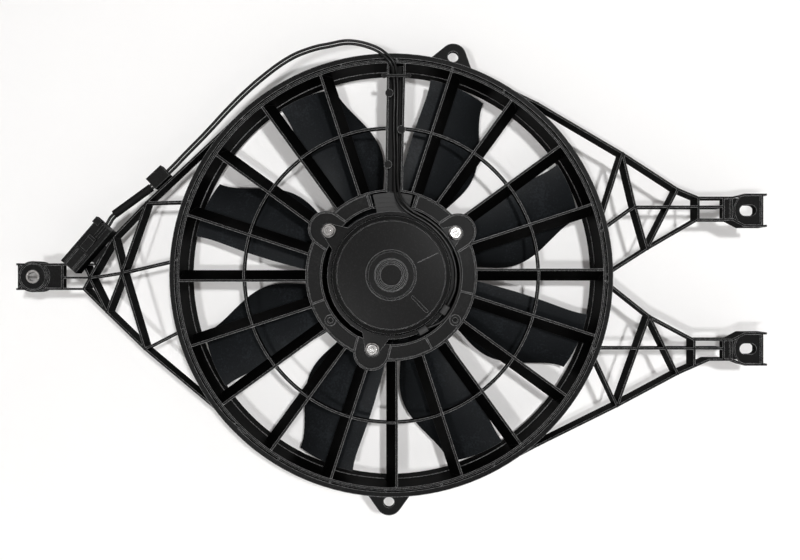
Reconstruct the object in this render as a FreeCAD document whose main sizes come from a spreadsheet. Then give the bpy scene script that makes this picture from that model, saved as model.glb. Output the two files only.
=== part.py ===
import FreeCAD, Part
import math
import os
import re

import Sketcher
from FreeCAD import Placement, Rotation, Vector

# Electric radiator fan: one moulded shroud that carries the motor, its fan wheel and the lead.
# Millimetres. X is to the right and Z up as seen from the motor side. Y runs along the fan axis,
# from the motor side (near, Y = 0 at the front rims) towards the far side, where the air leaves.

doc = FreeCAD.newDocument("radiator_fan_assembly")
sheet = doc.addObject("Spreadsheet::Sheet", "Sizes")

SIZES = {
    # shroud ring
    "duct_radius": 203.0,
    "duct_depth": 54.0,
    "duct_wall": 1.7,
    "duct_step": 0.8,
    "duct_step_depth": 35.0,
    "duct_lip_width": 3.0,
    "duct_lip_depth": 2.5,
    "channel_width": 3.0,
    "channel_depth": 6.0,
    "channel_floor": 2.0,
    "rim_width": 4.8,
    "rim_drop": 0.8,
    "rim_wall": 2.2,
    "channel_rib_thickness": 1.4,
    "channel_rib_pitch": 15.0,
    # stator vanes and hub ring
    "vane_count": 20.0,
    "vane_thickness": 2.2,
    "vane_depth": 22.0,
    "vane_near_shift": 5.3,
    "vane_far_shift": -4.1,
    "stiffener_radius": 142.0,
    "stiffener_thickness": 2.2,
    "stiffener_depth": 9.0,
    "hub_outer_radius": 82.5,
    "hub_inner_radius": 66.7,
    "hub_wall": 1.8,
    "hub_depth": 24.0,
    "hub_floor_drop": 3.5,
    "hub_floor": 2.4,
    "hub_rib_thickness": 1.4,
    # motor seats in the hub ring
    "seat_radius": 76.8,
    "seat_outline_radius": 17.3,
    "seat_rim": 1.6,
    "seat_drop": 4.0,
    "seat_depth": 16.0,
    "screw_circle_radius": 73.5,
    "screw_angle_right": 33.3,
    "screw_angle_left": 144.6,
    "screw_angle_low": 255.6,
    "pilot_boss_radius": 5.3,
    "pilot_hole_radius": 2.6,
    "pilot_depth": 10.0,
    "pilot_left_angle": 216.5,
    "pilot_left_radius": 72.9,
    "pilot_right_angle": 324.9,
    "pilot_right_radius": 75.2,
    # wire trough
    "trough_left_top": -4.0,
    "trough_left_low": -6.2,
    "trough_right_top": 13.7,
    "trough_right_low": 10.9,
    "trough_wall": 1.8,
    "trough_floor_drop": 11.0,
    "trough_floor": 2.0,
    "trough_tab_radius": 3.9,
    "trough_tab_high": 175.0,
    "trough_tab_middle": 140.0,
    "trough_tab_low": 106.4,
    "trough_tab_thickness": 1.6,
    # lugs on the ring
    "lug_hole_radius": 5.2,
    "lug_thickness": 6.0,
    "lug_drop": 1.2,
    "lug_tip_radius": 12.6,
    "lug_foot_half": 19.8,
    "lug_out": 5.3,
    "top_lug_angle": 74.2,
    "low_lug_angle": 269.4,
    # mounting arms
    "arm_wall": 2.0,
    "arm_depth": 21.0,
    "arm_drop": 0.8,
    "pad_thickness": 4.0,
    "left_hole_out": 131.2,
    "left_hole_z": -1.4,
    "left_hole_radius": 6.3,
    "left_boss_radius": 12.2,
    "left_round_radius": 15.0,
    "left_round_gap": 1.0,
    "left_sleeve_bore": 4.6,
    "left_sleeve_proud": 0.6,
    "left_end_reach": 13.4,
    "left_neck_half": 11.9,
    "left_pad_length": 41.8,
    "left_lip": 2.6,
    "right_slot_out": 130.5,
    "upper_slot_z": 62.5,
    "lower_slot_z": -71.0,
    "slot_half_width": 5.2,
    "slot_length": 16.0,
    "slot_wall": 2.0,
    "right_end_reach": 12.8,
    "right_end_half": 15.0,
    "right_end_start": 15.8,
    "right_pad_start": 24.4,
    "right_plate_radius": 16.9,
    "right_plate_shift": 4.1,
    "right_plate_drop": 2.4,
    "right_lip": 4.5,
    "lower_rib_z": -70.6,
    "pad_drop": 3.0,
    "panel_drop": 4.8,
    "step_depth": 8.0,
    # fan wheel
    "fan_radius": 198.4,
    "blade_count": 8.0,
    "fan_hub_radius": 74.0,
    "fan_hub_wall": 2.6,
    "fan_hub_front": 26.5,
    "fan_hub_back": 53.5,
    "fan_web": 3.0,
    "fan_hub_corner": 7.0,
    "blade_middle": 39.5,
    "blade_thickness": 2.6,
    "blade_edge": 1.3,
    "blade_camber": 0.075,
    "fan_boss_radius": 11.0,
    "fan_boss_front": 46.0,
    "fan_boss_back": 57.0,
    "fan_rib_thickness": 2.0,
    "fan_rib_height": 4.0,
    # motor
    "can_radius": 57.6,
    "can_wall": 2.2,
    "can_back": 37.0,
    "can_nose_wall": 2.2,
    "can_nose_lip": 1.5,
    "can_nose_hole": 7.5,
    "cap_front": -9.0,
    "cap_skirt": 9.0,
    "cap_step_radius": 52.3,
    "cap_step": 1.6,
    "cap_wall": 3.0,
    "cap_boss_radius": 22.6,
    "cap_boss_rise": 3.2,
    "cap_foot_width": 1.6,
    "cap_button_radius": 10.1,
    "cap_ring_radius": 11.6,
    "cap_groove_radius": 14.15,
    "cap_groove_width": 1.5,
    "cap_groove_depth": 2.0,
    "cap_collar_radius": 16.0,
    "flange_thickness": 2.5,
    "flange_width": 3.9,
    "tab_root_half": 13.5,
    "tab_tip_half": 7.6,
    "screw_radius": 3.0,
    "screw_hole_radius": 3.3,
    "screw_head_radius": 6.8,
    "screw_hex": 10.0,
    "screw_head_height": 5.4,
    "screw_flange": 1.4,
    "screw_length": 14.0,
    "insert_radius": 4.6,
    "insert_length": 9.0,
    "shaft_radius": 5.0,
    "shaft_front": -5.5,
    "shaft_back": 62.0,
    "shaft_flat": 4.2,
    "shaft_clearance": 0.03,
    "bush_outer_radius": 9.0,
    "bush_length": 8.0,
    "bearing_outer_radius": 13.0,
    "bearing_length": 8.0,
    "magnet_thickness": 8.0,
    "magnet_front": 10.0,
    "magnet_length": 22.0,
    "magnet_span": 66.0,
    "air_gap": 0.7,
    "core_front": 12.0,
    "core_length": 17.0,
    "core_slots": 12.0,
    "slot_width": 7.0,
    "slot_depth": 19.0,
    "winding_radius": 41.0,
    "winding_reach": 3.0,
    "commutator_radius": 13.5,
    "commutator_front": 2.4,
    "commutator_length": 7.6,
    "brush_width": 6.0,
    "brush_length": 12.0,
    "brush_card_hole": 14.5,
    "brush_card_thickness": 2.0,
    "spring_radius": 3.2,
    "clip_radius": 9.0,
    "clip_thickness": 1.5,
    "spacer_radius": 6.8,
    # lead, clip and connector
    "lead_radius": 1.35,
    "lead_pitch": 3.1,
    "notch_depth": 9.0,
    "seal_step": 1.2,
    "entry_radius": 3.1,
    "entry_length": 9.0,
    "entry_y": -4.4,
    "entry_gap": 0.6,
    "power_entry_angle": 300.0,
    "ground_entry_angle": 327.0,
    "tie_inset": 12.3,
    "tie_width": 2.4,
    "tie_thickness": 1.2,
    "tie_reach": 3.0,
    "tie_end_radius": 2.4,
    "sleeve_radius": 3.9,
    "sleeve_wall": 0.7,
    "clip_along": 26.0,
    "clip_length": 19.0,
    "clip_width": 13.2,
    "clip_height": 11.0,
    "clip_y": -8.2,
    "clip_bore": 3.4,
    "clip_bore_off": 5.4,
    "clip_bore_y": -4.05,
    "connector_right": 19.3,
    "connector_up": 49.4,
    "connector_angle": 229.2,
    "connector_length": 52.0,
    "connector_width": 18.5,
    "connector_height": 14.0,
    "connector_wall": 1.8,
    "connector_mouth": 27.0,
    "connector_seal": 7.0,
    "connector_latch_width": 8.0,
    "connector_latch_length": 15.0,
    "terminal_pitch": 7.0,
    "terminal_width": 4.8,
    "terminal_thickness": 0.8,
    "terminal_length": 12.0,
}

# Where the walls and ribs of the three arms meet: how far beyond the ring's rim, and the height
ARM_NODES = {
    "left_elbow": (76.7, -2.4),
    "left_centre": (45.7, 2.6),
    "left_high": (54.4, 36.7),
    "left_low": (60.3, -35.5),
    "left_top": (22.3, 69.9),
    "left_base": (23.7, -71.0),
    "upper_bend": (-72.5, 165.3),
    "upper_peak": (9.1, 117.3),
    "upper_centre": (21.4, 66.0),
    "upper_outer": (62.3, 82.8),
    "upper_low": (33.1, 25.2),
    "upper_neck_top": (82.1, 74.6),
    "upper_neck_low": (82.1, 53.7),
    "lower_high": (35.1, -39.2),
    "lower_base": (4.0, -125.8),
    "lower_outer": (62.1, -94.8),
    "lower_bend": (-72.0, -163.4),
    "lower_neck_top": (78.2, -62.2),
    "lower_neck_low": (92.2, -81.4),
}
# Sections of a blade: distance from the axis, angle of its middle, angle it spans, and its pitch
BLADE_SECTIONS = {
    "root": (71.0, 23.9, 37.0, 27.0),
    "inner": (100.0, 21.7, 35.0, 21.0),
    "waist": (130.0, 21.3, 31.0, 18.5),
    "middle": (160.0, 23.4, 22.9, 19.0),
    "outer": (185.0, 25.0, 17.5, 19.5),
    "tip": (202.0, 25.5, 17.0, 19.5),
}
for section, sizes in BLADE_SECTIONS.items():
    for what, size in zip(("radius", "sweep", "span", "pitch"), sizes):
        SIZES["blade_%s_%s" % (section, what)] = size
for place, (out, z) in ARM_NODES.items():
    SIZES[place + "_out"] = out
    SIZES[place + "_z"] = z


def fill_sheet():
    """Puts every driving dimension in the sheet, with its name beside it."""
    for row, (name, size) in enumerate(SIZES.items(), start=1):
        sheet.set("A%d" % row, name)
        sheet.set("B%d" % row, repr(size))
        sheet.setAlias("B%d" % row, name)
    doc.recompute()


fill_sheet()

NAME = re.compile(r"\b(" + "|".join(sorted(SIZES, key=len, reverse=True)) + r")\b")


def bound(rule):
    """Writes a rule, such as duct_radius + duct_wall, the way an object's expression needs it."""
    return NAME.sub(r"Sizes.\1", rule)


def number(rule):
    """Works out a rule's value now, for the first drawing of a sketch."""
    found = sheet.evalExpression(rule)
    return float(getattr(found, "Value", found))


def new_body(label):
    """Starts one sub-part."""
    body = doc.addObject("PartDesign::Body", label)
    body.Label = label
    return body


def sketch_on(body, role, lift="0", turn="0"):
    """A sketch on one of the body's own planes, moved along its normal and turned in it."""
    sketch = body.newObject("Sketcher::SketchObject", body.Name + "_sketch")
    plane = [feature for feature in body.Origin.OriginFeatures if feature.Role == role][0]
    sketch.AttachmentSupport = [(plane, "")]
    sketch.MapMode = "FlatFace"
    sketch.setExpression("AttachmentOffset.Base.z", bound(lift))
    sketch.setExpression("AttachmentOffset.Rotation.Angle", bound(turn))
    return sketch


def front_sketch(body, y="0", turn="0"):
    """A sketch seen from the motor side, at depth y, with its own X axis turned anticlockwise."""
    return sketch_on(body, "XZ_Plane", "-(%s)" % y, turn)


def hold(sketch, edge, end, x, y):
    """Holds one end (or centre) of an edge at a worked-out place."""
    for kind, rule in (("DistanceX", x), ("DistanceY", y)):
        at = sketch.addConstraint(Sketcher.Constraint(kind, -1, 1, edge, end, number(rule)))
        sketch.setExpression("Constraints[%d]" % at, bound(rule))


def outline(sketch, corners, bulges=None):
    """Draws a closed outline. A bulge is an edge's rise: an arc to the right of its direction."""
    bulges = bulges or {}
    places = [Vector(number(x), number(y), 0) for x, y in corners]
    first = sketch.GeometryCount
    for i, start in enumerate(places):
        end = places[(i + 1) % len(places)]
        if i in bulges:
            along = (end - start).normalize()
            side = Vector(along.y, -along.x, 0) * number(bulges[i])
            ends = (start, end) if number(bulges[i]) > 0 else (end, start)
            sketch.addGeometry(Part.Arc(ends[0], (start + end) * 0.5 + side, ends[1]))
        else:
            sketch.addGeometry(Part.LineSegment(start, end))
    for i, (x, y) in enumerate(corners):
        before = (i - 1) % len(corners)
        turned = sketch.Geometry[first + i].StartPoint.distanceToPoint(places[i]) > 0.001
        last_turned = sketch.Geometry[first + before].EndPoint.distanceToPoint(places[i]) > 0.001
        here = 2 if turned else 1
        there = 1 if last_turned else 2
        sketch.addConstraint(Sketcher.Constraint("Coincident", first + before, there, first + i, here))
        hold(sketch, first + i, here, x, y)
    for i, rise in bulges.items():
        hold_arc(sketch, first + i, corners[i], corners[(i + 1) % len(corners)], rise)
    return sketch


def hold_arc(sketch, edge, start, end, rise):
    """Holds an arc's centre, on the middle line between its ends, where the rise puts it."""
    across = "((%s) - (%s))" % (end[0], start[0])
    up = "((%s) - (%s))" % (end[1], start[1])
    chord = "sqrt(%s^2 + %s^2)" % (across, up)
    shift = "((%s) / 2 - %s^2 / 8 / (%s)) / %s" % (rise, chord, rise, chord)
    if abs(number(up)) > abs(number(across)):
        kind = "DistanceX"
        rule = "((%s) + (%s)) / 2 + %s * %s" % (start[0], end[0], up, shift)
    else:
        kind = "DistanceY"
        rule = "((%s) + (%s)) / 2 - %s * %s" % (start[1], end[1], across, shift)
    at = sketch.addConstraint(Sketcher.Constraint(kind, -1, 1, edge, 3, number(rule)))
    sketch.setExpression("Constraints[%d]" % at, bound(rule))


def circle(sketch, x, y, radius):
    """Draws a circle about a worked-out centre."""
    edge = sketch.addGeometry(
        Part.Circle(Vector(number(x), number(y), 0), Vector(0, 0, 1), number(radius)))
    hold(sketch, edge, 3, x, y)
    at = sketch.addConstraint(Sketcher.Constraint("Radius", edge, number(radius)))
    sketch.setExpression("Constraints[%d]" % at, bound(radius))
    return sketch


def box_outline(sketch, x1, y1, x2, y2):
    """Draws a rectangle between two corners."""
    return outline(sketch, [(x1, y1), (x2, y1), (x2, y2), (x1, y2)])


def feature(body, kind, sketch):
    """Adds one feature that works on a sketch."""
    made = body.newObject("PartDesign::" + kind, body.Name + "_" + kind.lower())
    made.Profile = sketch
    made.Refine = False
    return made


def pad(body, sketch, length):
    """Raises a front sketch towards the far side, or a side one along its normal."""
    made = feature(body, "Pad", sketch)
    made.Reversed = sketch.AttachmentSupport[0][0].Role == "XZ_Plane"
    made.setExpression("Length", bound(length))
    return made


def pocket(body, sketch, length):
    """Cuts a front sketch towards the far side, and says so if it cut nothing."""
    doc.recompute()
    before = body.Shape.Volume
    made = feature(body, "Pocket", sketch)
    made.setExpression("Length", bound(length))
    doc.recompute()
    if before - body.Shape.Volume < 0.01:
        print("A pocket in", body.Label, "cut nothing")
    return made


def about_axis(body, kind, corners, bulges=None, angle="360"):
    """A revolution or groove about the fan axis. Corners are (radius, y)."""
    sketch = outline(sketch_on(body, "XY_Plane"), corners, bulges)
    made = feature(body, kind, sketch)
    made.ReferenceAxis = (sketch, ["V_Axis"])
    made.setExpression("Angle", bound(angle))
    return made


def around(body, made, count, angle, clockwise=False):
    """Repeats features about the fan axis."""
    doc.recompute()
    repeat = body.newObject("PartDesign::PolarPattern", body.Name + "_pattern")
    repeat.Refine = False
    repeat.Originals = made if isinstance(made, list) else [made]
    axis = [item for item in body.Origin.OriginFeatures if item.Role == "Y_Axis"][0]
    repeat.Axis = (axis, [""])
    repeat.Reversed = not clockwise
    repeat.setExpression("Angle", bound(angle))
    repeat.setExpression("Occurrences", bound(count))
    body.Tip = repeat
    return repeat


# Radii that several sub-parts share, from the fan axis outwards
DUCT_FACE = "(duct_radius + duct_step)"
DUCT_OUTSIDE = "(duct_radius + duct_step + duct_wall)"
CHANNEL_OUTSIDE = "(duct_radius + duct_step + duct_wall + channel_width)"
RING_OUTSIDE = "(duct_radius + duct_step + duct_wall + channel_width + rim_width)"


def shroud_ring():
    """The duct that the fan runs in, with a ribbed channel round its mouth and two lugs."""
    body = new_body("ring_body")
    under_rim = RING_OUTSIDE + " - rim_wall"
    lip = DUCT_OUTSIDE + " + duct_lip_width"
    about_axis(body, "Revolution", [
        (DUCT_FACE, "0"), (DUCT_OUTSIDE, "0"), (DUCT_OUTSIDE, "channel_depth"),
        (CHANNEL_OUTSIDE, "channel_depth"), (CHANNEL_OUTSIDE, "rim_drop"),
        (RING_OUTSIDE, "rim_drop"), (RING_OUTSIDE, "vane_depth"), (under_rim, "vane_depth"),
        (under_rim, "channel_depth + channel_floor"), (DUCT_OUTSIDE, "channel_depth + channel_floor"),
        (DUCT_OUTSIDE, "duct_depth - duct_lip_depth"), (lip, "duct_depth - duct_lip_depth"),
        (lip, "duct_depth"), ("duct_radius", "duct_depth"), ("duct_radius", "duct_step_depth"),
        (DUCT_FACE, "duct_step_depth")])
    for first_angle in ("58.5", "223.5"):
        sketch = front_sketch(body, "rim_drop + 0.6", first_angle)
        box_outline(sketch, DUCT_OUTSIDE + " - 0.6", "-channel_rib_thickness / 2",
                    CHANNEL_OUTSIDE + " + 0.6", "channel_rib_thickness / 2")
        rib = pad(body, sketch, "channel_depth - rim_drop")
        around(body, rib, "6", "5 * channel_rib_pitch")
    add_lug(body, "top_lug_angle")
    add_lug(body, "low_lug_angle")
    return joined([body, channel_ribs()], "shroud_ring")


def add_lug(body, turn):
    """A flat lug on the ring's rim: straight sides, tangent to a round end about its bolt hole."""
    out = RING_OUTSIDE + " + lug_out"
    foot = RING_OUTSIDE + " - 0.8"
    reach = "(lug_out + 0.8)"
    slope = "(acos(lug_tip_radius / sqrt(%s^2 + lug_foot_half^2)) - atan2(%s; lug_foot_half))" % (
        reach, reach)
    tangent = out + " + lug_tip_radius * sin%s" % slope
    side = "lug_tip_radius * cos%s" % slope
    sketch = front_sketch(body, "rim_drop + lug_drop", turn)
    outline(sketch, [(foot + " - 2", "-lug_foot_half"), (foot, "-lug_foot_half"), (tangent, "-" + side),
                     (tangent, side), (foot, "lug_foot_half"), (foot + " - 2", "lug_foot_half")],
            {2: "lug_tip_radius * (1 - sin%s)" % slope})
    pad(body, sketch, "lug_thickness")
    hole = circle(front_sketch(body, "rim_drop + lug_drop", turn), out, "0", "lug_hole_radius")
    pocket(body, hole, "lug_thickness")


# The arms' ribs that run on across the ring's channel: where each comes from, and where it lands
CHANNEL_RIBS = (("left_top", "160.3"), ("left_centre", "176.2"), ("left_base", "194.8"),
                ("left_base", "219.5"), ("upper_peak", "15.3"), ("upper_centre", "12.3"),
                ("upper_low", "0.6"), ("lower_high", "-2.4"), ("lower_base", "-21.8"))


def channel_ribs():
    """The low ribs that carry the arms' walls on across the ring's rim and channel."""
    depth = "channel_depth + 0.5 - rim_drop"
    ribs = []
    for name, angle in CHANNEL_RIBS:
        start, end = node(name), on_ring(angle)
        past = ["(%s) + ((%s) - (%s)) * 0.3" % (b, b, a) for a, b in zip(start, end)]
        ribs.append(strut(end, past, "rim_drop", depth, "channel_rib_thickness"))
    rib_start = "%s * cos(20)" % RING_OUTSIDE
    ribs.append(strut((rib_start + " - 14", "lower_rib_z"), (rib_start, "lower_rib_z"), "rim_drop", depth,
                      "channel_rib_thickness"))
    limit = tube("rib_limit", "rim_drop", RING_OUTSIDE + " - 1", DUCT_OUTSIDE + " - 0.5", depth)
    return common_to(joined(ribs), limit)


def stator_grille():
    """The hub ring that holds the motor, on slanted vanes, with the trough that leads the wires out."""
    body = new_body("stator_grille")
    outer = "hub_outer_radius"
    inner = "hub_inner_radius"
    about_axis(body, "Revolution", [
        (inner, "0"), (inner + " + hub_wall", "0"), (inner + " + hub_wall", "hub_floor_drop"),
        (outer + " - hub_wall", "hub_floor_drop"), (outer + " - hub_wall", "0"), (outer, "0"),
        (outer, "hub_depth"), (outer + " - hub_wall", "hub_depth"),
        (outer + " - hub_wall", "hub_floor_drop + hub_floor"),
        (inner + " + hub_wall", "hub_floor_drop + hub_floor"),
        (inner + " + hub_wall", "hub_depth * 0.6"), (inner, "hub_depth * 0.6")])
    for angle in HUB_RIB_ANGLES:
        sketch = front_sketch(body, "0", angle)
        box_outline(sketch, inner + " + 0.6", "-hub_rib_thickness / 2",
                    outer + " - 0.6", "hub_rib_thickness / 2")
        pad(body, sketch, "hub_floor_drop + 0.5")
    for side in ("left", "right"):
        turn = "pilot_%s_angle" % side
        out = "pilot_%s_radius" % side
        pad(body, circle(front_sketch(body, "0.3", turn), out, "0", "pilot_boss_radius"), "pilot_depth")
        pocket(body, circle(front_sketch(body, "0", turn), out, "0", "pilot_hole_radius"),
               "pilot_depth - 2")
    for angle in ("screw_angle_right", "screw_angle_left", "screw_angle_low"):
        add_motor_seat(body, angle)
    outside = outline(front_sketch(body), trough_corners("0", LOW_END, DUCT_FACE + " + 3"))
    pad(body, outside, "trough_floor_drop + trough_floor")
    add_vanes(body)
    band = front_sketch(body, "rim_drop")
    circle(band, "0", "0", "stiffener_radius - stiffener_thickness / 2")
    circle(band, "0", "0", "stiffener_radius + stiffener_thickness / 2")
    pad(body, band, "stiffener_depth")
    open_trough(body)
    open_lead_notch(body)
    about_axis(body, "Groove", [(DUCT_FACE, "-5"), (DUCT_FACE + " + 20", "-5"),
                                (DUCT_FACE + " + 20", "duct_depth"), (DUCT_FACE, "duct_depth")])
    return body


# The ribs that divide the hub ring's channel. The first two bound the open part for the wires.
HUB_RIB_ANGLES = ("71", "107", "200", "299", "347")
# Where the trough and the vanes start, inside the hub ring's outer wall
LOW_END = "(hub_outer_radius - hub_wall / 2)"


def add_vane(body, place, start):
    """One slanted vane, at a whole number of places anticlockwise from the X axis."""
    half = "vane_thickness / 2"
    turn = "(%s * 360 / vane_count)" % place
    sketch = body.newObject("Sketcher::SketchObject", body.Name + "_sketch")
    plane = [item for item in body.Origin.OriginFeatures if item.Role == "YZ_Plane"][0]
    sketch.AttachmentSupport = [(plane, "")]
    sketch.MapMode = "FlatFace"
    sketch.AttachmentOffset = Placement(Vector(0, 0, 0), Rotation(Vector(-1, 0, 0), 10))
    sketch.setExpression("AttachmentOffset.Rotation.Angle", bound(turn))
    sketch.setExpression("AttachmentOffset.Base.y", bound("(%s) * sin(%s)" % (start, turn)))
    sketch.setExpression("AttachmentOffset.Base.z", bound("(%s) * cos(%s)" % (start, turn)))
    outline(sketch, [("0", "vane_near_shift - " + half), ("vane_depth", "vane_far_shift - " + half),
                     ("vane_depth", "vane_far_shift + " + half), ("0", "vane_near_shift + " + half)])
    return pad(body, sketch, "%s + 3 - (%s)" % (DUCT_FACE, start))


def add_vanes(body):
    """Nineteen vanes: three end at the motor's seats, and the trough takes the twentieth's place."""
    seat_end = "seat_radius + seat_outline_radius - seat_rim / 2"
    pair = [add_vane(body, "0", LOW_END), add_vane(body, "1", LOW_END)]
    around(body, pair, "7", "6 * 3 * 360 / vane_count")
    around(body, add_vane(body, "11", LOW_END), "2", "6 * 360 / vane_count")
    around(body, add_vane(body, "2", seat_end), "3", "2 * 6 * 360 / vane_count")


def trough_corners(inset, low, high):
    """The trough's four corners, narrowed by an inset, between two heights."""
    left = "(trough_left_low + (trough_left_top - trough_left_low) * ((%s) - 80) / 120 + (%s))"
    right = "(trough_right_low + (trough_right_top - trough_right_low) * ((%s) - 80) / 120 - (%s))"
    return [(left % (low, inset), low), (right % (low, inset), low),
            (right % (high, inset), high), (left % (high, inset), high)]


def open_lead_notch(body):
    """Cuts the hub ring's inner wall and floor back where the leads cross to the motor."""
    inside = "(hub_inner_radius - 6)"
    outside = "(hub_outer_radius - hub_wall)"
    first, last = "73.2", "104.8"
    sketch = front_sketch(body, "-1")
    outline(sketch, [
        (outside + " * cos(%s)" % first, outside + " * sin(%s)" % first),
        (outside + " * cos(%s)" % last, outside + " * sin(%s)" % last),
        (inside + " * cos(%s)" % last, inside + " * sin(%s)" % last),
        (inside + " * cos(%s)" % first, inside + " * sin(%s)" % first)],
        {0: outside + " * (1 - cos((%s - %s) / 2))" % (last, first)})
    pocket(body, sketch, "notch_depth + 1")


def open_trough(body):
    """Opens the trough towards the motor side, and adds the round tabs that keep the wires in."""
    inside = outline(front_sketch(body, "-1"),
                     trough_corners("trough_wall", "hub_outer_radius - hub_wall - 1", DUCT_FACE + " + 5"))
    pocket(body, inside, "trough_floor_drop + 1")
    tabs = front_sketch(body)
    for corner, height, way in ((0, "trough_tab_high", "+"), (1, "trough_tab_middle", "-"),
                                (0, "trough_tab_low", "+")):
        wall = trough_corners("0", height, height)[corner][0]
        circle(tabs, "%s %s 2.6" % (wall, way), height, "trough_tab_radius")
    pad(body, tabs, "trough_tab_thickness")


def add_motor_seat(body, angle):
    """A round-ended seat for one tab of the motor, with a raised rim and a hole for the insert."""
    reach = "seat_outline_radius"
    inside = "(seat_outline_radius - seat_rim)"
    start = "hub_inner_radius + 0.4"
    sketch = front_sketch(body, "0", angle)
    outline(sketch, [(start, "-" + reach), ("seat_radius", "-" + reach),
                     ("seat_radius", reach), (start, reach)], {1: reach})
    pad(body, sketch, "seat_depth")
    sketch = front_sketch(body, "-1", angle)
    outline(sketch, [("hub_inner_radius - 5", "-" + inside), ("seat_radius", "-" + inside),
                     ("seat_radius", inside), ("hub_inner_radius - 5", inside)], {1: inside})
    pocket(body, sketch, "seat_drop + 1")
    shank = circle(front_sketch(body, "seat_drop", angle), "screw_circle_radius", "0", "screw_hole_radius")
    pocket(body, shank, "seat_depth")
    hole = circle(front_sketch(body, "seat_drop", angle), "screw_circle_radius", "0", "insert_radius")
    pocket(body, hole, "insert_length")


def beyond_rim(side, size):
    """A place along X, so far beyond the ring's rim on the left or right."""
    return "(%s(%s + %s))" % ("-" if side == "left" else "", RING_OUTSIDE, size)


LEFT_HOLE_X = beyond_rim("left", "left_hole_out")
RIGHT_SLOT_X = beyond_rim("right", "right_slot_out")


def node(name):
    """The place of one of the arms' nodes."""
    return beyond_rim(name.split("_")[0], name + "_out"), name + "_z"


def on_ring(angle, inset="3"):
    """A place just inside the ring's rim, where an arm's wall or rib runs into it."""
    out = "(%s - %s)" % (RING_OUTSIDE, inset)
    return "%s * cos(%s)" % (out, angle), "%s * sin(%s)" % (out, angle)


def strut(start, end, y="arm_drop", depth="arm_depth", thickness="arm_wall"):
    """An upright wall or rib between two places, seen edge-on from the motor side."""
    wall = doc.addObject("Part::Box", "strut")
    across = "((%s) - (%s))" % (end[0], start[0])
    up = "((%s) - (%s))" % (end[1], start[1])
    length = "sqrt(%s^2 + %s^2)" % (across, up)
    wall.setExpression("Length", bound(length))
    wall.setExpression("Width", bound(depth))
    wall.setExpression("Height", bound(thickness))
    wall.Placement = Placement(Vector(0, 0, 0), Rotation(Vector(0, -1, 0), 10))
    wall.setExpression("Placement.Rotation.Angle", bound("atan2(%s; %s)" % (up, across)))
    half = "(%s) / 2 / %s" % (thickness, length)
    wall.setExpression("Placement.Base.x", bound("(%s) + %s * %s" % (start[0], up, half)))
    wall.setExpression("Placement.Base.y", bound(y))
    wall.setExpression("Placement.Base.z", bound("(%s) - %s * %s" % (start[1], across, half)))
    return wall


def rod(x, z, y, radius, length, name="rod"):
    """A round bar along the fan axis."""
    bar = doc.addObject("Part::Cylinder", name)
    bar.Placement = Placement(Vector(0, 0, 0), Rotation(Vector(1, 0, 0), -90))
    bar.setExpression("Radius", bound(radius))
    bar.setExpression("Height", bound(length))
    bar.setExpression("Placement.Base.x", bound(x))
    bar.setExpression("Placement.Base.y", bound(y))
    bar.setExpression("Placement.Base.z", bound(z))
    return bar


def joined(pieces, name="joined"):
    """Several pieces as one solid."""
    whole = doc.addObject("Part::MultiFuse", name)
    whole.Shapes = pieces
    return whole


def cut_from(base, tool, label):
    """A piece less a tool, under the name of its sub-part."""
    left = doc.addObject("Part::Cut", label)
    left.Base = base
    left.Tool = tool
    left.Label = label
    return left


def common_to(base, limit):
    """What a piece shares with its limit."""
    shared = doc.addObject("Part::Common", "common")
    shared.Base = base
    shared.Tool = limit
    return shared


def trimmed_arm(label, pieces, knots, hole):
    """An arm from its walls, with a small round at each node, cut to the ring and for its bolt."""
    for name in knots:
        pieces.append(rod(*node(name), "arm_drop", "arm_wall * 0.65", "arm_depth"))
    ring = rod("0", "0", "-5", RING_OUTSIDE, "arm_depth + 20")
    return cut_from(joined(pieces), joined([ring] + hole), label)


def round_about_bolt(y, outer, inner, length):
    """A ring about the left arm's bolt."""
    return cut_from(rod(LEFT_HOLE_X, "left_hole_z", y, outer, length),
                    rod(LEFT_HOLE_X, "left_hole_z", "(%s) - 1" % y, inner, "(%s) + 2" % length), "round")


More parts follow.
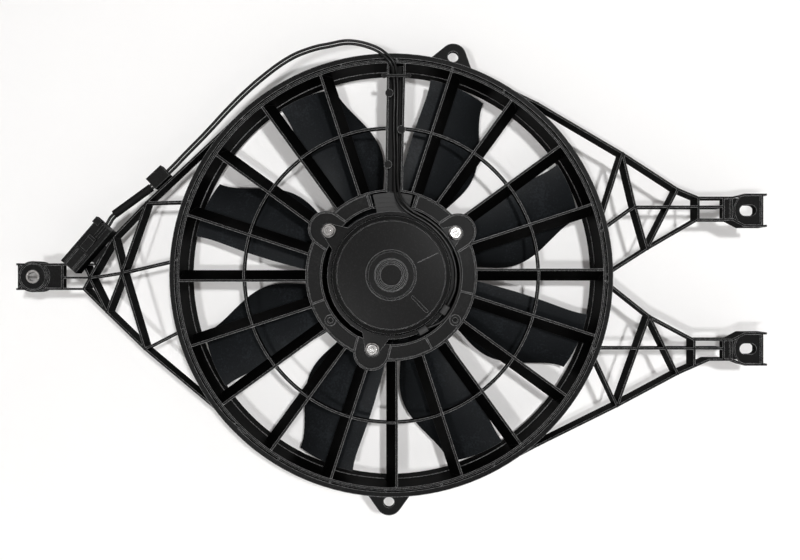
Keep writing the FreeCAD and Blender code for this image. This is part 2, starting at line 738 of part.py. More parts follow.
def left_arm():
    """The left arm: an open truss that narrows to a boss with a round bolt hole."""
    top = "left_hole_z + left_neck_half"
    low = "left_hole_z - left_neck_half"
    end = LEFT_HOLE_X + " - left_end_reach"
    step = end + " + left_pad_length"
    elbow, centre, high = node("left_elbow"), node("left_centre"), node("left_high")
    lower, peak, base = node("left_low"), node("left_top"), node("left_base")
    shoulder = "(%s - 6)" % elbow[0]
    walls = [
        (elbow, high), (high, peak), (peak, on_ring("133.5", "1.2")), (lower, base),
        (base, on_ring("219.5")), ((shoulder, low), lower), ((end + " - left_lip", top), (elbow[0] + " + 7", top)),
        ((end + " - left_lip", low), (shoulder, low)), ((end, low), (end, top)),
        (elbow, (shoulder, low)), (elbow, (shoulder, top)),
        ((step, "left_elbow_z"), elbow), (elbow, centre), (elbow, lower), (centre, high),
        (centre, lower), (centre, peak), (centre, base), (centre, on_ring("176.2")),
        (peak, on_ring("160.3")), (base, on_ring("194.8"))]
    pieces = [strut(*wall) for wall in walls]
    pieces.append(strut((step, low), (step, top), "arm_drop", "step_depth"))
    pieces.append(strut((end, "left_hole_z"), (step, "left_hole_z"), "arm_drop + pad_drop",
                        "pad_thickness", "2 * left_neck_half"))
    pieces.append(rod(LEFT_HOLE_X, "left_hole_z", "arm_drop", "left_boss_radius", "arm_depth"))
    gap_end = "left_boss_radius + left_round_gap"
    pieces.append(round_about_bolt("arm_drop", "left_round_radius", gap_end, "arm_depth"))
    rest = ("(%s + %s) / 2" % (elbow[0], high[0]), "(left_elbow_z + left_high_z) / 2 + 2")
    far = ("%s - 13" % rest[0], "%s + 8" % rest[1])
    pieces.append(strut(rest, far, "arm_drop", "pad_thickness * 0.75", "20"))
    beyond = end + " - 6"
    cuts = [
        rod(LEFT_HOLE_X, "left_hole_z", "-5", "left_hole_radius", "arm_depth + 20"),
        round_about_bolt("-5", gap_end, "left_boss_radius", "5 + arm_drop + pad_drop"),
        round_about_bolt("arm_drop + pad_drop + pad_thickness", gap_end, "left_boss_radius", "arm_depth"),
        strut((beyond, low + " + arm_wall / 2"), (beyond, top + " - arm_wall / 2"), "-5",
              "arm_depth + 20", "10")]
    return trimmed_arm("left_arm", pieces, ("left_elbow", "left_centre", "left_high", "left_low",
                                            "left_top", "left_base"), cuts)


def slotted_end(top, low, slot_z):
    """The end of a right arm: neck walls that widen to a plate with a rounded edge and a slot."""
    pad_start = RIGHT_SLOT_X + " - right_pad_start"
    start = RIGHT_SLOT_X + " - right_end_start"
    wide = RIGHT_SLOT_X + " - 4"
    tip = RIGHT_SLOT_X + " + right_end_reach"
    lip = tip + " + right_lip"
    high_side = slot_z + " + right_end_half"
    low_side = slot_z + " - right_end_half"
    walls = [
        (top, (start, top[1])), (low, (start, low[1])), ((start, top[1]), (wide, high_side)),
        ((start, low[1]), (wide, low_side)), ((wide, high_side), (lip, high_side)),
        ((wide, low_side), (lip, low_side)), ((tip, low_side), (tip, high_side))]
    pieces = [strut(*wall) for wall in walls]
    neck_middle = "((%s) + (%s)) / 2" % (top[1], low[1])
    neck = "(%s) - (%s)" % (top[1], low[1])
    pieces += [
        strut((pad_start, low[1]), (pad_start, top[1]), "arm_drop", "step_depth"),
        strut((start, low[1]), (start, top[1]), "arm_drop + pad_drop - 0.6", "pad_thickness"),
        strut((pad_start, neck_middle), (wide, neck_middle), "arm_drop + panel_drop", "pad_thickness", neck)]
    plate_y = "arm_drop + right_plate_drop"
    disc = rod(RIGHT_SLOT_X + " + right_plate_shift", slot_z, plate_y, "right_plate_radius",
               "pad_thickness")
    limit = strut((start, slot_z), (wide + " + 1", slot_z), plate_y, "pad_thickness",
                  "2 * right_end_half")
    pieces.append(common_to(disc, limit))
    pieces.append(strut((wide, slot_z), (tip, slot_z), plate_y, "pad_thickness", "2 * right_end_half"))
    return pieces + slot_shape(slot_z, "slot_half_width + slot_wall", "arm_drop + pad_drop", "step_depth")


def slot_shape(slot_z, radius, y, depth):
    """A round-ended bar along X, for the slot's wall or the slot itself."""
    half = "(slot_length / 2 - slot_half_width)"
    left = RIGHT_SLOT_X + " - " + half
    right = RIGHT_SLOT_X + " + " + half
    return [rod(left, slot_z, y, radius, depth), rod(right, slot_z, y, radius, depth),
            strut((left, slot_z), (right, slot_z), y, depth, "2 * (%s)" % radius)]


def upper_right_arm():
    """The upper right arm: a truss between two long walls that run off the ring."""
    bend, peak, centre = node("upper_bend"), node("upper_peak"), node("upper_centre")
    outer, lower = node("upper_outer"), node("upper_low")
    top, low = node("upper_neck_top"), node("upper_neck_low")
    walls = [
        (on_ring("62.5"), bend), (bend, peak), (peak, outer), (outer, top), (low, lower),
        (lower, on_ring("0.6")), (peak, on_ring("15.3")), (peak, centre), (centre, lower),
        (centre, on_ring("12.3")), (outer, lower), (top, low),
        (centre, (RIGHT_SLOT_X + " - right_pad_start", "upper_centre_z"))]
    pieces = [strut(*wall) for wall in walls] + slotted_end(top, low, "upper_slot_z")
    hole = slot_shape("upper_slot_z", "slot_half_width", "-5", "arm_depth + 20")
    return trimmed_arm("upper_right_arm", pieces, ("upper_bend", "upper_peak", "upper_centre",
                                                   "upper_outer", "upper_low"), hole)


def lower_right_arm():
    """The lower right arm, which mirrors the upper one loosely."""
    high, base = node("lower_high"), node("lower_base")
    outer, bend = node("lower_outer"), node("lower_bend")
    top, low = node("lower_neck_top"), node("lower_neck_low")
    walls = [
        (on_ring("-2.4"), high), (high, top), (low, outer), (outer, base), (base, bend),
        (bend, on_ring("-61")), (high, base), (high, outer), (base, on_ring("-21.8")),
        (top, (top[0], "lower_neck_low_z - 6")),
        (("%s * cos(20)" % RING_OUTSIDE, "lower_rib_z"),
         (RIGHT_SLOT_X + " - right_pad_start", "lower_rib_z"))]
    pieces = [strut(*wall) for wall in walls] + slotted_end(top, low, "lower_slot_z")
    hole = slot_shape("lower_slot_z", "slot_half_width", "-5", "arm_depth + 20")
    return trimmed_arm("lower_right_arm", pieces, ("lower_high", "lower_base", "lower_outer",
                                                   "lower_bend"), hole)


def arm_sleeve():
    """The steel sleeve that takes the bolt's load in the left arm's boss."""
    proud = "arm_drop - left_sleeve_proud"
    length = "arm_depth + left_sleeve_proud"
    outside = rod(LEFT_HOLE_X, "left_hole_z", proud, "left_hole_radius - 0.02", length)
    bore = rod(LEFT_HOLE_X, "left_hole_z", "-5", "left_sleeve_bore", "arm_depth + 20")
    return cut_from(outside, bore, "left_arm_sleeve")


def blade_section(body, name):
    """One section of a blade: a bowed strip, square to the radius it stands on."""
    out = "blade_%s_radius" % name
    sweep = "blade_%s_sweep" % name
    half = "(%s * tan(blade_%s_span / 2))" % (out, name)
    rise = "(%s * tan(blade_%s_pitch))" % (half, name)
    bow = "(2 * %s * blade_camber)" % half
    edge = "blade_edge / 2"
    sketch = body.newObject("Sketcher::SketchObject", body.Name + "_section")
    plane = [item for item in body.Origin.OriginFeatures if item.Role == "YZ_Plane"][0]
    sketch.AttachmentSupport = [(plane, "")]
    sketch.MapMode = "FlatFace"
    sketch.AttachmentOffset = Placement(Vector(0, 0, 0), Rotation(Vector(-1, 0, 0), 10))
    sketch.setExpression("AttachmentOffset.Rotation.Angle", bound(sweep))
    sketch.setExpression("AttachmentOffset.Base.y", bound("%s * sin(%s)" % (out, sweep)))
    sketch.setExpression("AttachmentOffset.Base.z", bound("%s * cos(%s)" % (out, sweep)))
    near = "blade_middle - %s" % rise
    far = "blade_middle + %s" % rise
    bulge = "%s %s (blade_thickness - blade_edge) / 2"
    return outline(sketch, [
        (near + " - " + edge, half), (far + " - " + edge, "-" + half),
        (far + " + " + edge, "-" + half), (near + " + " + edge, half)],
        {0: bulge % (bow, "+"), 2: "-(%s)" % (bulge % (bow, "-"))})


def fan_wheel():
    """The fan: a cup-shaped hub on the motor's shaft and eight swept blades."""
    body = new_body("fan_wheel")
    inside = "fan_hub_radius - fan_hub_wall"
    bore = "shaft_radius + shaft_clearance"
    about_axis(body, "Revolution", [
        (inside, "fan_hub_front"), ("fan_hub_radius", "fan_hub_front"),
        ("fan_hub_radius", "fan_hub_back - fan_hub_corner"),
        ("fan_hub_radius - fan_hub_corner", "fan_hub_back"), ("fan_boss_radius", "fan_hub_back"),
        ("fan_boss_radius", "fan_boss_back"), (bore, "fan_boss_back"), (bore, "fan_boss_front"),
        ("fan_boss_radius", "fan_boss_front"), ("fan_boss_radius", "fan_hub_back - fan_web"),
        ("fan_hub_radius - fan_hub_corner", "fan_hub_back - fan_web"),
        (inside, "fan_hub_back - fan_hub_corner")],
        {2: "0.29 * fan_hub_corner"})
    sketch = front_sketch(body, "fan_hub_back - fan_web - fan_rib_height")
    box_outline(sketch, "fan_boss_radius - 1", "-fan_rib_thickness / 2",
                "fan_hub_radius - fan_hub_wall + 0.6", "fan_rib_thickness / 2")
    around(body, pad(body, sketch, "fan_rib_height + 0.5"), "blade_count",
           "360 - 360 / blade_count")
    blade = body.newObject("PartDesign::AdditiveLoft", "blade")
    blade.Refine = False
    sections = [blade_section(body, name) for name in BLADE_SECTIONS]
    blade.Profile = sections[0]
    blade.Sections = sections[1:]
    around(body, blade, "blade_count", "360 - 360 / blade_count")
    about_axis(body, "Groove", [("fan_radius", "-5"), ("fan_radius + 30", "-5"),
                                ("fan_radius + 30", "duct_depth + 20"), ("fan_radius", "duct_depth + 20")])
    flat = front_sketch(body, "fan_boss_front + 1")
    box_outline(flat, "shaft_flat + shaft_clearance", "-shaft_radius * 0.7", "shaft_radius + 1",
                "shaft_radius * 0.7")
    pad(body, flat, "fan_boss_back - fan_boss_front - 2")
    return body


def tube(label, y, outer, inner, length):
    """A plain ring or tube about the fan axis."""
    return cut_from(rod("0", "0", y, outer, length), rod("0", "0", "(%s) - 1" % y, inner,
                                                         "(%s) + 2" % length), label)


def motor_end_cap():
    """The motor's pressed cap on the near side, with a stepped edge and a ringed round boss."""
    body = new_body("motor_end_cap")
    face = "cap_front"
    inner_face = "cap_front + cap_wall"
    seat = "bush_outer_radius"
    groove_in = "cap_groove_radius - cap_groove_width / 2"
    groove_out = "cap_groove_radius + cap_groove_width / 2"
    boss_face = "cap_front - cap_boss_rise"
    about_axis(body, "Revolution", [
        ("0", boss_face + " - 0.5"), ("cap_button_radius", boss_face + " - 0.5"),
        ("cap_button_radius + 0.4", boss_face), ("cap_ring_radius", boss_face),
        ("cap_ring_radius + 0.5", boss_face + " + 0.6"), (groove_in, boss_face + " + 0.6"),
        (groove_in, boss_face + " + cap_groove_depth"),
        (groove_out, boss_face + " + cap_groove_depth"), (groove_out, boss_face + " - 0.3"),
        ("cap_collar_radius - 0.3", boss_face + " - 0.3"), ("cap_collar_radius", boss_face),
        ("cap_boss_radius - 0.8", boss_face), ("cap_boss_radius", boss_face + " + 0.8"),
        ("cap_boss_radius", face + " - 0.9"), ("cap_boss_radius + cap_foot_width - 0.4", face + " - 0.7"),
        ("cap_boss_radius + cap_foot_width", face), ("cap_step_radius - 0.8", face),
        ("cap_step_radius", face + " + 0.9"), ("can_radius - 1.4", face + " + cap_step"),
        ("can_radius", face + " + cap_step + 1.4"), ("can_radius", face + " + cap_skirt"),
        ("can_radius - can_wall", face + " + cap_skirt"), ("can_radius - can_wall", inner_face),
        (seat + " + 2.5", inner_face), (seat + " + 2.5", inner_face + " + bush_length"),
        (seat, inner_face + " + bush_length"), (seat, inner_face), ("0", inner_face)])
    return body


def motor_can():
    """The steel can, open at the cap, with a nose at its far end for the bearing."""
    body = new_body("motor_can")
    inside = "can_radius - can_wall"
    nose = "bearing_outer_radius + can_nose_wall"
    nose_end = "can_back - can_wall + bearing_length - 0.8"
    about_axis(body, "Revolution", [
        ("can_radius", "cap_front + cap_skirt"), ("can_radius", "can_back - 3"),
        ("can_radius - 3", "can_back"), (nose, "can_back"), (nose, nose_end + " + can_nose_lip"),
        ("can_nose_hole", nose_end + " + can_nose_lip"), ("can_nose_hole", nose_end),
        ("bearing_outer_radius", nose_end), ("bearing_outer_radius", "can_back - can_wall"),
        (inside, "can_back - can_wall"), (inside, "cap_front + cap_skirt")])
    return body


def motor_flange():
    """The steel ring round the can, with the three tapered tabs that the screws hold."""
    body = new_body("motor_flange")
    seat = "seat_drop - flange_thickness"
    ring = front_sketch(body, seat)
    circle(ring, "0", "0", "can_radius")
    circle(ring, "0", "0", "can_radius + flange_width")
    pad(body, ring, "flange_thickness")
    for angle in ("screw_angle_right", "screw_angle_left", "screw_angle_low"):
        tab = front_sketch(body, seat, angle)
        outline(tab, [("can_radius + 1.5", "-tab_root_half"), ("screw_circle_radius", "-tab_tip_half"),
                      ("screw_circle_radius", "tab_tip_half"), ("can_radius + 1.5", "tab_root_half")],
                {1: "tab_tip_half"})
        pad(body, tab, "flange_thickness")
        hole = circle(front_sketch(body, seat, angle), "screw_circle_radius", "0", "screw_hole_radius")
        pocket(body, hole, "flange_thickness")
    return body


def at_screws(made):
    """Calls a maker for each of the three screw places, and returns what it made."""
    places = []
    for angle in ("screw_angle_right", "screw_angle_left", "screw_angle_low"):
        x = "screw_circle_radius * cos(%s)" % angle
        z = "screw_circle_radius * sin(%s)" % angle
        places.append(made(x, z))
    return places


def group(pieces, label):
    """Separate solids that share one sub-part."""
    together = doc.addObject("Part::Compound", label)
    together.Links = pieces
    together.Label = label
    return together


def one_screw(x, z):
    """A flanged hexagon screw."""
    seat = "seat_drop - flange_thickness"
    head = doc.addObject("Part::Prism", "hexagon")
    head.Polygon = 6
    head.Placement = Placement(Vector(0, 0, 0), Rotation(Vector(1, 0, 0), -90))
    head.setExpression("Circumradius", bound("screw_hex / 2 / cos(30)"))
    head.setExpression("Height", bound("screw_head_height"))
    head.setExpression("Placement.Base.x", bound(x))
    head.setExpression("Placement.Base.y", bound(seat + " - screw_head_height"))
    head.setExpression("Placement.Base.z", bound(z))
    flange = rod(x, z, seat + " - screw_flange", "screw_head_radius", "screw_flange")
    shank = rod(x, z, seat + " - 1", "screw_radius - 0.05", "screw_length + 1")
    return joined([head, flange, shank])


def one_insert(x, z):
    """A brass threaded insert, pressed into the shroud."""
    return cut_from(rod(x, z, "seat_drop", "insert_radius", "insert_length"),
                    rod(x, z, "seat_drop - 1", "screw_radius", "insert_length + 2"), "insert")


def motor_magnets():
    """Four curved magnets on the can's wall."""
    body = new_body("motor_magnets")
    outside = "can_radius - can_wall"
    inside = outside + " - magnet_thickness"
    end = "magnet_front + magnet_length"
    magnet = about_axis(body, "Revolution", [(inside, "magnet_front"), (outside, "magnet_front"),
                                             (outside, end), (inside, end)], angle="magnet_span")
    around(body, magnet, "4", "270")
    return body


def armature_core():
    """The laminated rotor core, slotted for the windings."""
    body = new_body("armature_core")
    edge = "can_radius - can_wall - magnet_thickness - air_gap"
    disc = front_sketch(body, "core_front")
    circle(disc, "0", "0", edge)
    circle(disc, "0", "0", "shaft_radius")
    pad(body, disc, "core_length")
    slot = front_sketch(body, "core_front")
    box_outline(slot, "(%s) - slot_depth" % edge, "-slot_width / 2", "(%s) + 2" % edge, "slot_width / 2")
    around(body, pocket(body, slot, "core_length"), "core_slots", "360 - 360 / core_slots")
    return body


def armature_windings():
    """The copper coils: bars that fill the core's slots and the end turns that join them."""
    body = new_body("armature_windings")
    low = "can_radius - can_wall - magnet_thickness - air_gap - slot_depth"
    first = "core_front - winding_reach"
    last = "core_front + core_length"
    about_axis(body, "Revolution", [
        (low + " - 9", "core_front"), (low + " - 7", first), ("winding_radius - 2", first),
        ("winding_radius", "core_front")])
    bar = front_sketch(body, "core_front - 0.5")
    box_outline(bar, low + " + 0.3", "0.2 - slot_width / 2", "winding_radius - 1", "slot_width / 2 - 0.2")
    around(body, pad(body, bar, "core_length + 1"), "core_slots", "360 - 360 / core_slots")
    about_axis(body, "Revolution", [
        (low + " - 9", last), ("winding_radius", last), ("winding_radius - 2", last + " + winding_reach"),
        (low + " - 7", last + " + winding_reach")])
    return body


def motor_shaft():
    """The hardened shaft, with a flat that drives the fan."""
    bar = rod("0", "0", "shaft_front", "shaft_radius", "shaft_back - shaft_front")
    flat = strut(("shaft_flat + 5", "-10"), ("shaft_flat + 5", "10"), "fan_boss_front", "30", "10")
    return cut_from(bar, flat, "motor_shaft")


def brush_set():
    """The brush card in the can's mouth, with two brushes on the commutator and their springs."""
    card = tube("brush_card", "cap_front + cap_skirt", "can_radius - can_wall - 0.02",
                "brush_card_hole", "brush_card_thickness")
    top = "cap_front + cap_skirt + brush_card_thickness"
    brushes = []
    springs = []
    for side in ("", "-"):
        start = side + "(commutator_radius + 0.1)"
        end = side + "(commutator_radius + 0.1 + brush_length)"
        coil = side + "(commutator_radius + 0.15 + brush_length + spring_radius)"
        brushes.append(strut((start, "0"), (end, "0"), top, "brush_width", "brush_width"))
        springs.append(cut_from(rod(coil, "0", top, "spring_radius", "brush_width"),
                                rod(coil, "0", top + " - 1", "spring_radius - 0.9", "brush_width + 2"),
                                "spring"))
    return [card, group(brushes, "brushes"), group(springs, "brush_springs")]


def shaft_pieces():
    """The plain rings and tubes on the shaft and round it."""
    loose = "shaft_radius + shaft_clearance"
    nose_end = "can_back - can_wall + bearing_length - 0.8"
    return [
        tube("cap_bush", "cap_front + cap_wall", "bush_outer_radius", loose, "bush_length"),
        tube("can_bearing", nose_end + " - bearing_length", "bearing_outer_radius", loose,
             "bearing_length"),
        tube("commutator", "commutator_front", "commutator_radius", "shaft_radius",
             "commutator_length"),
        tube("shaft_spacer", nose_end + " + 0.05", "spacer_radius", loose,
             "fan_boss_front - 0.05 - (%s)" % nose_end),
        tube("fan_retaining_clip", "fan_boss_back", "clip_radius", "shaft_radius", "clip_thickness")]


def slanted_rod(start, end, y, radius, name="rod"):
    """A round bar square to the fan axis, between two places at depth y."""
    bar = doc.addObject("Part::Cylinder", name)
    across = "((%s) - (%s))" % (end[0], start[0])
    up = "((%s) - (%s))" % (end[1], start[1])
    bar.Placement = Placement(Vector(0, 0, 0), Rotation(Vector(0, 1, 0), 10))
    bar.setExpression("Placement.Rotation.Angle", bound("atan2(%s; %s)" % (across, up)))
    bar.setExpression("Height", bound("sqrt(%s^2 + %s^2)" % (across, up)))
    bar.setExpression("Radius", bound(radius))
    bar.setExpression("Placement.Base.x", bound(start[0]))
    bar.setExpression("Placement.Base.y", bound(y))
    bar.setExpression("Placement.Base.z", bound(start[1]))
    return bar


def lead_entry(angle, way):
    """A short rubber entry on the cap's skirt, and where a lead ends just before its mouth."""
    out = "(can_radius + entry_radius + 0.15)"
    half = "%s * entry_length / 2" % way
    middle = (out + " * cos(%s)" % angle, out + " * sin(%s)" % angle)
    back = ("%s + %s * sin(%s)" % (middle[0], half, angle),
            "%s - %s * cos(%s)" % (middle[1], half, angle))
    front = ("%s - %s * sin(%s)" % (middle[0], half, angle),
             "%s + %s * cos(%s)" % (middle[1], half, angle))
    reach = "%s * (entry_length / 2 + entry_gap)" % way
    lead_end = ("%s - %s * sin(%s)" % (middle[0], reach, angle),
                "%s + %s * cos(%s)" % (middle[1], reach, angle))
    return slanted_rod(back, front, "entry_y", "entry_radius"), lead_end


# The pair of leads, from the connector over the ring and down the trough: (x, y, z) of its middle
PAIR_ROUTE = [
    (-270.7, -6.2, 47.0), (-269.1, -6.0, 48.9), (-265.6, -4.6, 57.0), (-226.5, -4.2, 85.6),
    (-209.2, -3.9, 101.8),
    (-195.7, -3.4, 116.4), (-177.4, -3.2, 134.8), (-152.9, -3.2, 161.8), (-128.4, -3.5, 185.0),
    (-97.8, -3.5, 208.2), (-73.2, -3.3, 217.4), (-58.8, -3.2, 219.9), (-44.4, -3.2, 223.3),
    (-30.0, -3.2, 222.1), (-13.4, -3.4, 216.6), (-3.8, -3.6, 209.4), (2.4, -3.0, 202.0),
    (4.3, 3.0, 191.0), (4.8, 6.2, 172.0), (3.6, 7.4, 146.0), (4.7, 7.2, 118.0), (4.4, 5.2, 97.0)]
# Each lead's own last stretch: out of the trough, then clockwise beside the motor, where a place
# is (angle, distance from the fan axis, y)
GROUND_END = [(3.2, 1.0, 80.0), (7.4, -1.6, 67.8)]
POWER_END = [(6.9, 0.8, 82.0), (11.0, -1.8, 70.2)]
GROUND_ROUND = [(72, 61.4, -1.0), (56, 61.2, -0.6), (40, 61.4, -0.5), (24, 62.0, -0.5), (8, 62.6, -0.5),
                (-8, 62.6, -1.0), (-18, 62.2, -2.6)]
POWER_ROUND = [(72, 64.6, -1.8), (56, 64.4, -1.8), (40, 64.7, -1.8), (24, 65.9, -1.8), (8, 66.9, -1.8),
               (-8, 67.2, -1.8), (-24, 67.0, -2.0), (-38, 66.6, -2.6), (-47, 64.8, -3.8)]


def beside(route, shift):
    """A route moved sideways, as seen from the motor side, for one lead of a pair."""
    moved = []
    for i, here in enumerate(route):
        before = here - route[i - 1] if i > 0 else route[1] - here
        after = route[i + 1] - here if i < len(route) - 1 else before
        before, after = Vector(before.x, 0, before.z).normalize(), Vector(after.x, 0, after.z).normalize()
        side = Vector(before.z, 0, -before.x) + Vector(after.z, 0, -after.x)
        moved.append(here + side * (shift * 2 / side.Length ** 2))
    return moved


def smooth_path(route):
    """Straight runs joined by tangent arcs, each as large as its two runs allow."""
    edges = []
    start = route[0]
    radii = []
    for before, corner, after in zip(route, route[1:], route[2:]):
        arrive = (corner - before).normalize()
        leave = (after - corner).normalize()
        reach = 0.45 * min((corner - before).Length, (after - corner).Length)
        half_turn = arrive.getAngle(leave) / 2
        radii.append(reach / math.tan(half_turn))
        first = corner - arrive * reach
        last = corner + leave * reach
        inward = (leave - arrive).normalize()
        middle = corner + inward * (radii[-1] / math.cos(half_turn) - radii[-1])
        edges += [Part.LineSegment(start, first).toShape(), Part.Arc(first, middle, last).toShape()]
        start = last
    edges.append(Part.LineSegment(start, route[-1]).toShape())
    return Part.Wire(edges), radii


def round_tube(label, route, radius, bore=0.0):
    """A round tube along a route."""
    path, radii = smooth_path(route)
    begin = Part.makeCircle(radius, route[0], route[1] - route[0])
    shape = path.makePipeShell([Part.Wire(begin)], True, True)
    if bore:
        hole = Part.makeCircle(bore, route[0], route[1] - route[0])
        shape = shape.cut(path.makePipeShell([Part.Wire(hole)], True, True))
    made = doc.addObject("Part::Feature", label)
    made.Label = label
    made.Shape = shape
    section = math.pi * (radius ** 2 - bore ** 2)
    print(label, "length", round(path.Length, 1), "volume over section times length",
          round(shape.Volume / section / path.Length, 4), "radii", [round(r, 1) for r in radii])
    return made


def beside_motor(places):
    """Points about the fan axis, from their angle, distance and depth."""
    points = []
    for angle, out, depth in places:
        turn = math.radians(angle)
        points.append(Vector(out * math.cos(turn), depth, out * math.sin(turn)))
    return points


def leads():
    """The power and ground leads, whole, from the connector to the motor."""
    pair = [Vector(*place) for place in PAIR_ROUTE]
    gap = number("lead_pitch") / 2
    power_entry, power_finish = lead_entry("power_entry_angle", "1")
    ground_entry, ground_finish = lead_entry("ground_entry_angle", "1")
    entry_y = number("entry_y")
    ground = beside(pair, gap) + [Vector(*place) for place in GROUND_END] + beside_motor(GROUND_ROUND)
    ground.append(Vector(number(ground_finish[0]), entry_y, number(ground_finish[1])))
    power = beside(pair, -gap) + [Vector(*place) for place in POWER_END] + beside_motor(POWER_ROUND)
    power.append(Vector(number(power_finish[0]), entry_y, number(power_finish[1])))
    radius = number("lead_radius")
    return [round_tube("power_lead", power, radius), round_tube("ground_lead", ground, radius),
            group([power_entry, ground_entry], "lead_entries")]


def lead_seal():
    """The stepped rubber seal in the hub ring's notch, under the leads."""
    body = new_body("lead_seal")
    base = "notch_depth"
    corners = [("can_radius + flange_width + 0.5", base)]
    for step in range(4):
        out = "can_radius + flange_width + 0.5 + %d * 4.4" % step
        level = "notch_depth - 1.5 - %d * seal_step" % step
        corners += [(out, level), (out + " + 4.4", level)]
    corners.append((corners[-1][0], base))
    seal = about_axis(body, "Revolution", corners, angle="28")
    seal.Reversed = True
    body.Placement = Placement(Vector(0, 0, 0), Rotation(Vector(0, 1, 0), -75))
    return body


def trough_tie():
    """The strap across the trough's mouth that keeps the leads in."""
    left = "trough_left_top - tie_reach"
    right = "trough_right_top + tie_reach"
    height = DUCT_FACE + " - tie_inset"
    strap = strut((left, height), (right, height), "-tie_thickness", "tie_thickness", "tie_width")
    ends = [rod(x, height, "-tie_thickness", "tie_end_radius", "tie_thickness") for x in (left, right)]
    return cut_from(joined([strap] + ends), rod("0", height, "-20", "0.5", "2"), "trough_tie")


def beside_wall(start, end, along, off):
    """A place beside an arm's wall: so far along it, and so far off it."""
    across = "((%s) - (%s))" % (end[0], start[0])
    up = "((%s) - (%s))" % (end[1], start[1])
    length = "sqrt(%s^2 + %s^2)" % (across, up)
    x = "(%s) + (%s * (%s) - %s * (%s)) / %s" % (start[0], across, along, up, off, length)
    z = "(%s) + (%s * (%s) + %s * (%s)) / %s" % (start[1], up, along, across, off, length)
    return x, z


def harness_clip():
    """The block on the left arm's upper wall that holds the leads."""
    wall = (node("left_top"), on_ring("133.5", "1.2"))
    off = "arm_wall / 2 + clip_width / 2"
    first = beside_wall(*wall, "clip_along - clip_length / 2", off)
    last = beside_wall(*wall, "clip_along + clip_length / 2", off)
    block = strut(first, last, "clip_y", "clip_height", "clip_width")
    bore = slanted_rod(beside_wall(*wall, "clip_along - clip_length", "clip_bore_off"),
                       beside_wall(*wall, "clip_along + clip_length", "clip_bore_off"), "clip_bore_y",
                       "clip_bore")
    return cut_from(block, bore, "harness_clip")


def harness_sleeve():
    """The woven sleeve over the leads between the clip and the connector."""
    low, high = Vector(*PAIR_ROUTE[2]), Vector(*PAIR_ROUTE[3])
    radius = number("sleeve_radius")
    return round_tube("harness_sleeve", [high + (low - high) * 0.07, low + (high - low) * 0.04], radius,
                      radius - number("sleeve_wall"))


def along_connector(distance, off="0"):
    """A place on the connector, measured from the end where the leads enter."""
    elbow = node("left_elbow")
    x = "%s + connector_right + (%s) * cos(connector_angle) - (%s) * sin(connector_angle)" % (
        elbow[0], distance, off)
    z = "%s + connector_up + (%s) * sin(connector_angle) + (%s) * cos(connector_angle)" % (
        elbow[1], distance, off)
    return x, z


def connector():
    """The connector: a hood, its rubber seal, two blades and the sliding lock."""
    back = "arm_drop - connector_height"
    inner_height = "connector_height - 2 * connector_wall"
    inner_width = "connector_width - 2 * connector_wall"
    block = strut(along_connector("0"), along_connector("connector_length"), back, "connector_height",
                  "connector_width")
    mouth = strut(along_connector("connector_length - connector_mouth"),
                  along_connector("connector_length + 5"), back + " + connector_wall",
                  inner_height, inner_width)
    seal_hole = strut(along_connector("-5"), along_connector("connector_seal"),
                      back + " + connector_wall", inner_height, inner_width)
    ribs = []
    for i in range(5):
        place = "9 + %d * 3.4" % i
        ribs.append(strut(along_connector(place, "-connector_width / 2"),
                          along_connector(place + " + 1.4", "-connector_width / 2"), back + " + 3",
                          "connector_height - 6", "1.2"))
    housing = cut_from(block, joined([mouth, seal_hole] + ribs), "connector_housing")
    seal = strut(along_connector("0"), along_connector("connector_seal"), back + " + connector_wall",
                 inner_height, inner_width)
    seal.Label = "connector_seal"
    blades = []
    for off in ("-terminal_pitch / 2", "terminal_pitch / 2"):
        blades.append(strut(
            along_connector("connector_length - connector_mouth", off),
            along_connector("connector_length - connector_mouth + terminal_length", off),
            back + " + connector_height / 2 - terminal_width / 2", "terminal_width",
            "terminal_thickness"))
    lock = joined([
        strut(along_connector("connector_length * 0.28"),
              along_connector("connector_length * 0.28 + connector_latch_length"), back + " - 2.2", "2.2",
              "connector_latch_width"),
        strut(along_connector("connector_length * 0.28"), along_connector("connector_length * 0.28 + 3"),
              back + " - 3.6", "1.6", "connector_latch_width")], "connector_lock")
    lock.Label = "connector_lock"
    return [housing, seal, group(blades, "connector_terminals"), lock]


SUB_PARTS = [shroud_ring(), stator_grille(), left_arm(), upper_right_arm(), lower_right_arm(),
             arm_sleeve(), fan_wheel(), motor_end_cap(), motor_can(), motor_flange(),
             group(at_screws(one_screw), "motor_screws"), group(at_screws(one_insert), "screw_inserts"),
             motor_magnets(), armature_core(), armature_windings(), motor_shaft()]
SUB_PARTS += brush_set() + shaft_pieces() + leads()
SUB_PARTS += [lead_seal(), trough_tie(), harness_clip(), harness_sleeve()] + connector()

doc.recompute()
os.makedirs("parts", exist_ok=True)
for item in doc.Objects:
    if "Invalid" in item.State or "Error" in item.State:
        raise RuntimeError("%s failed: %s" % (item.Label, item.State))
for part in SUB_PARTS:
    if part.Shape.isNull() or not part.Shape.isValid():
        raise RuntimeError(part.Label + " has no valid shape")
for part in SUB_PARTS:
    part.Shape.exportStep("parts/%s.step" % part.Label)
    print(part.Label, len(part.Shape.Solids), "solid,", round(part.Shape.Volume / 1000, 2), "cm3")
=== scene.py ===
"""Looks of the electric radiator fan assembly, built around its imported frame.

Metres, in the frame's own axes: +X right and +Z up as seen from the motor side, +Y along the
fan axis towards the side where the air leaves.
"""

import logging
import math
from dataclasses import dataclass, field
from enum import Enum
from typing import Any, Optional, Sequence

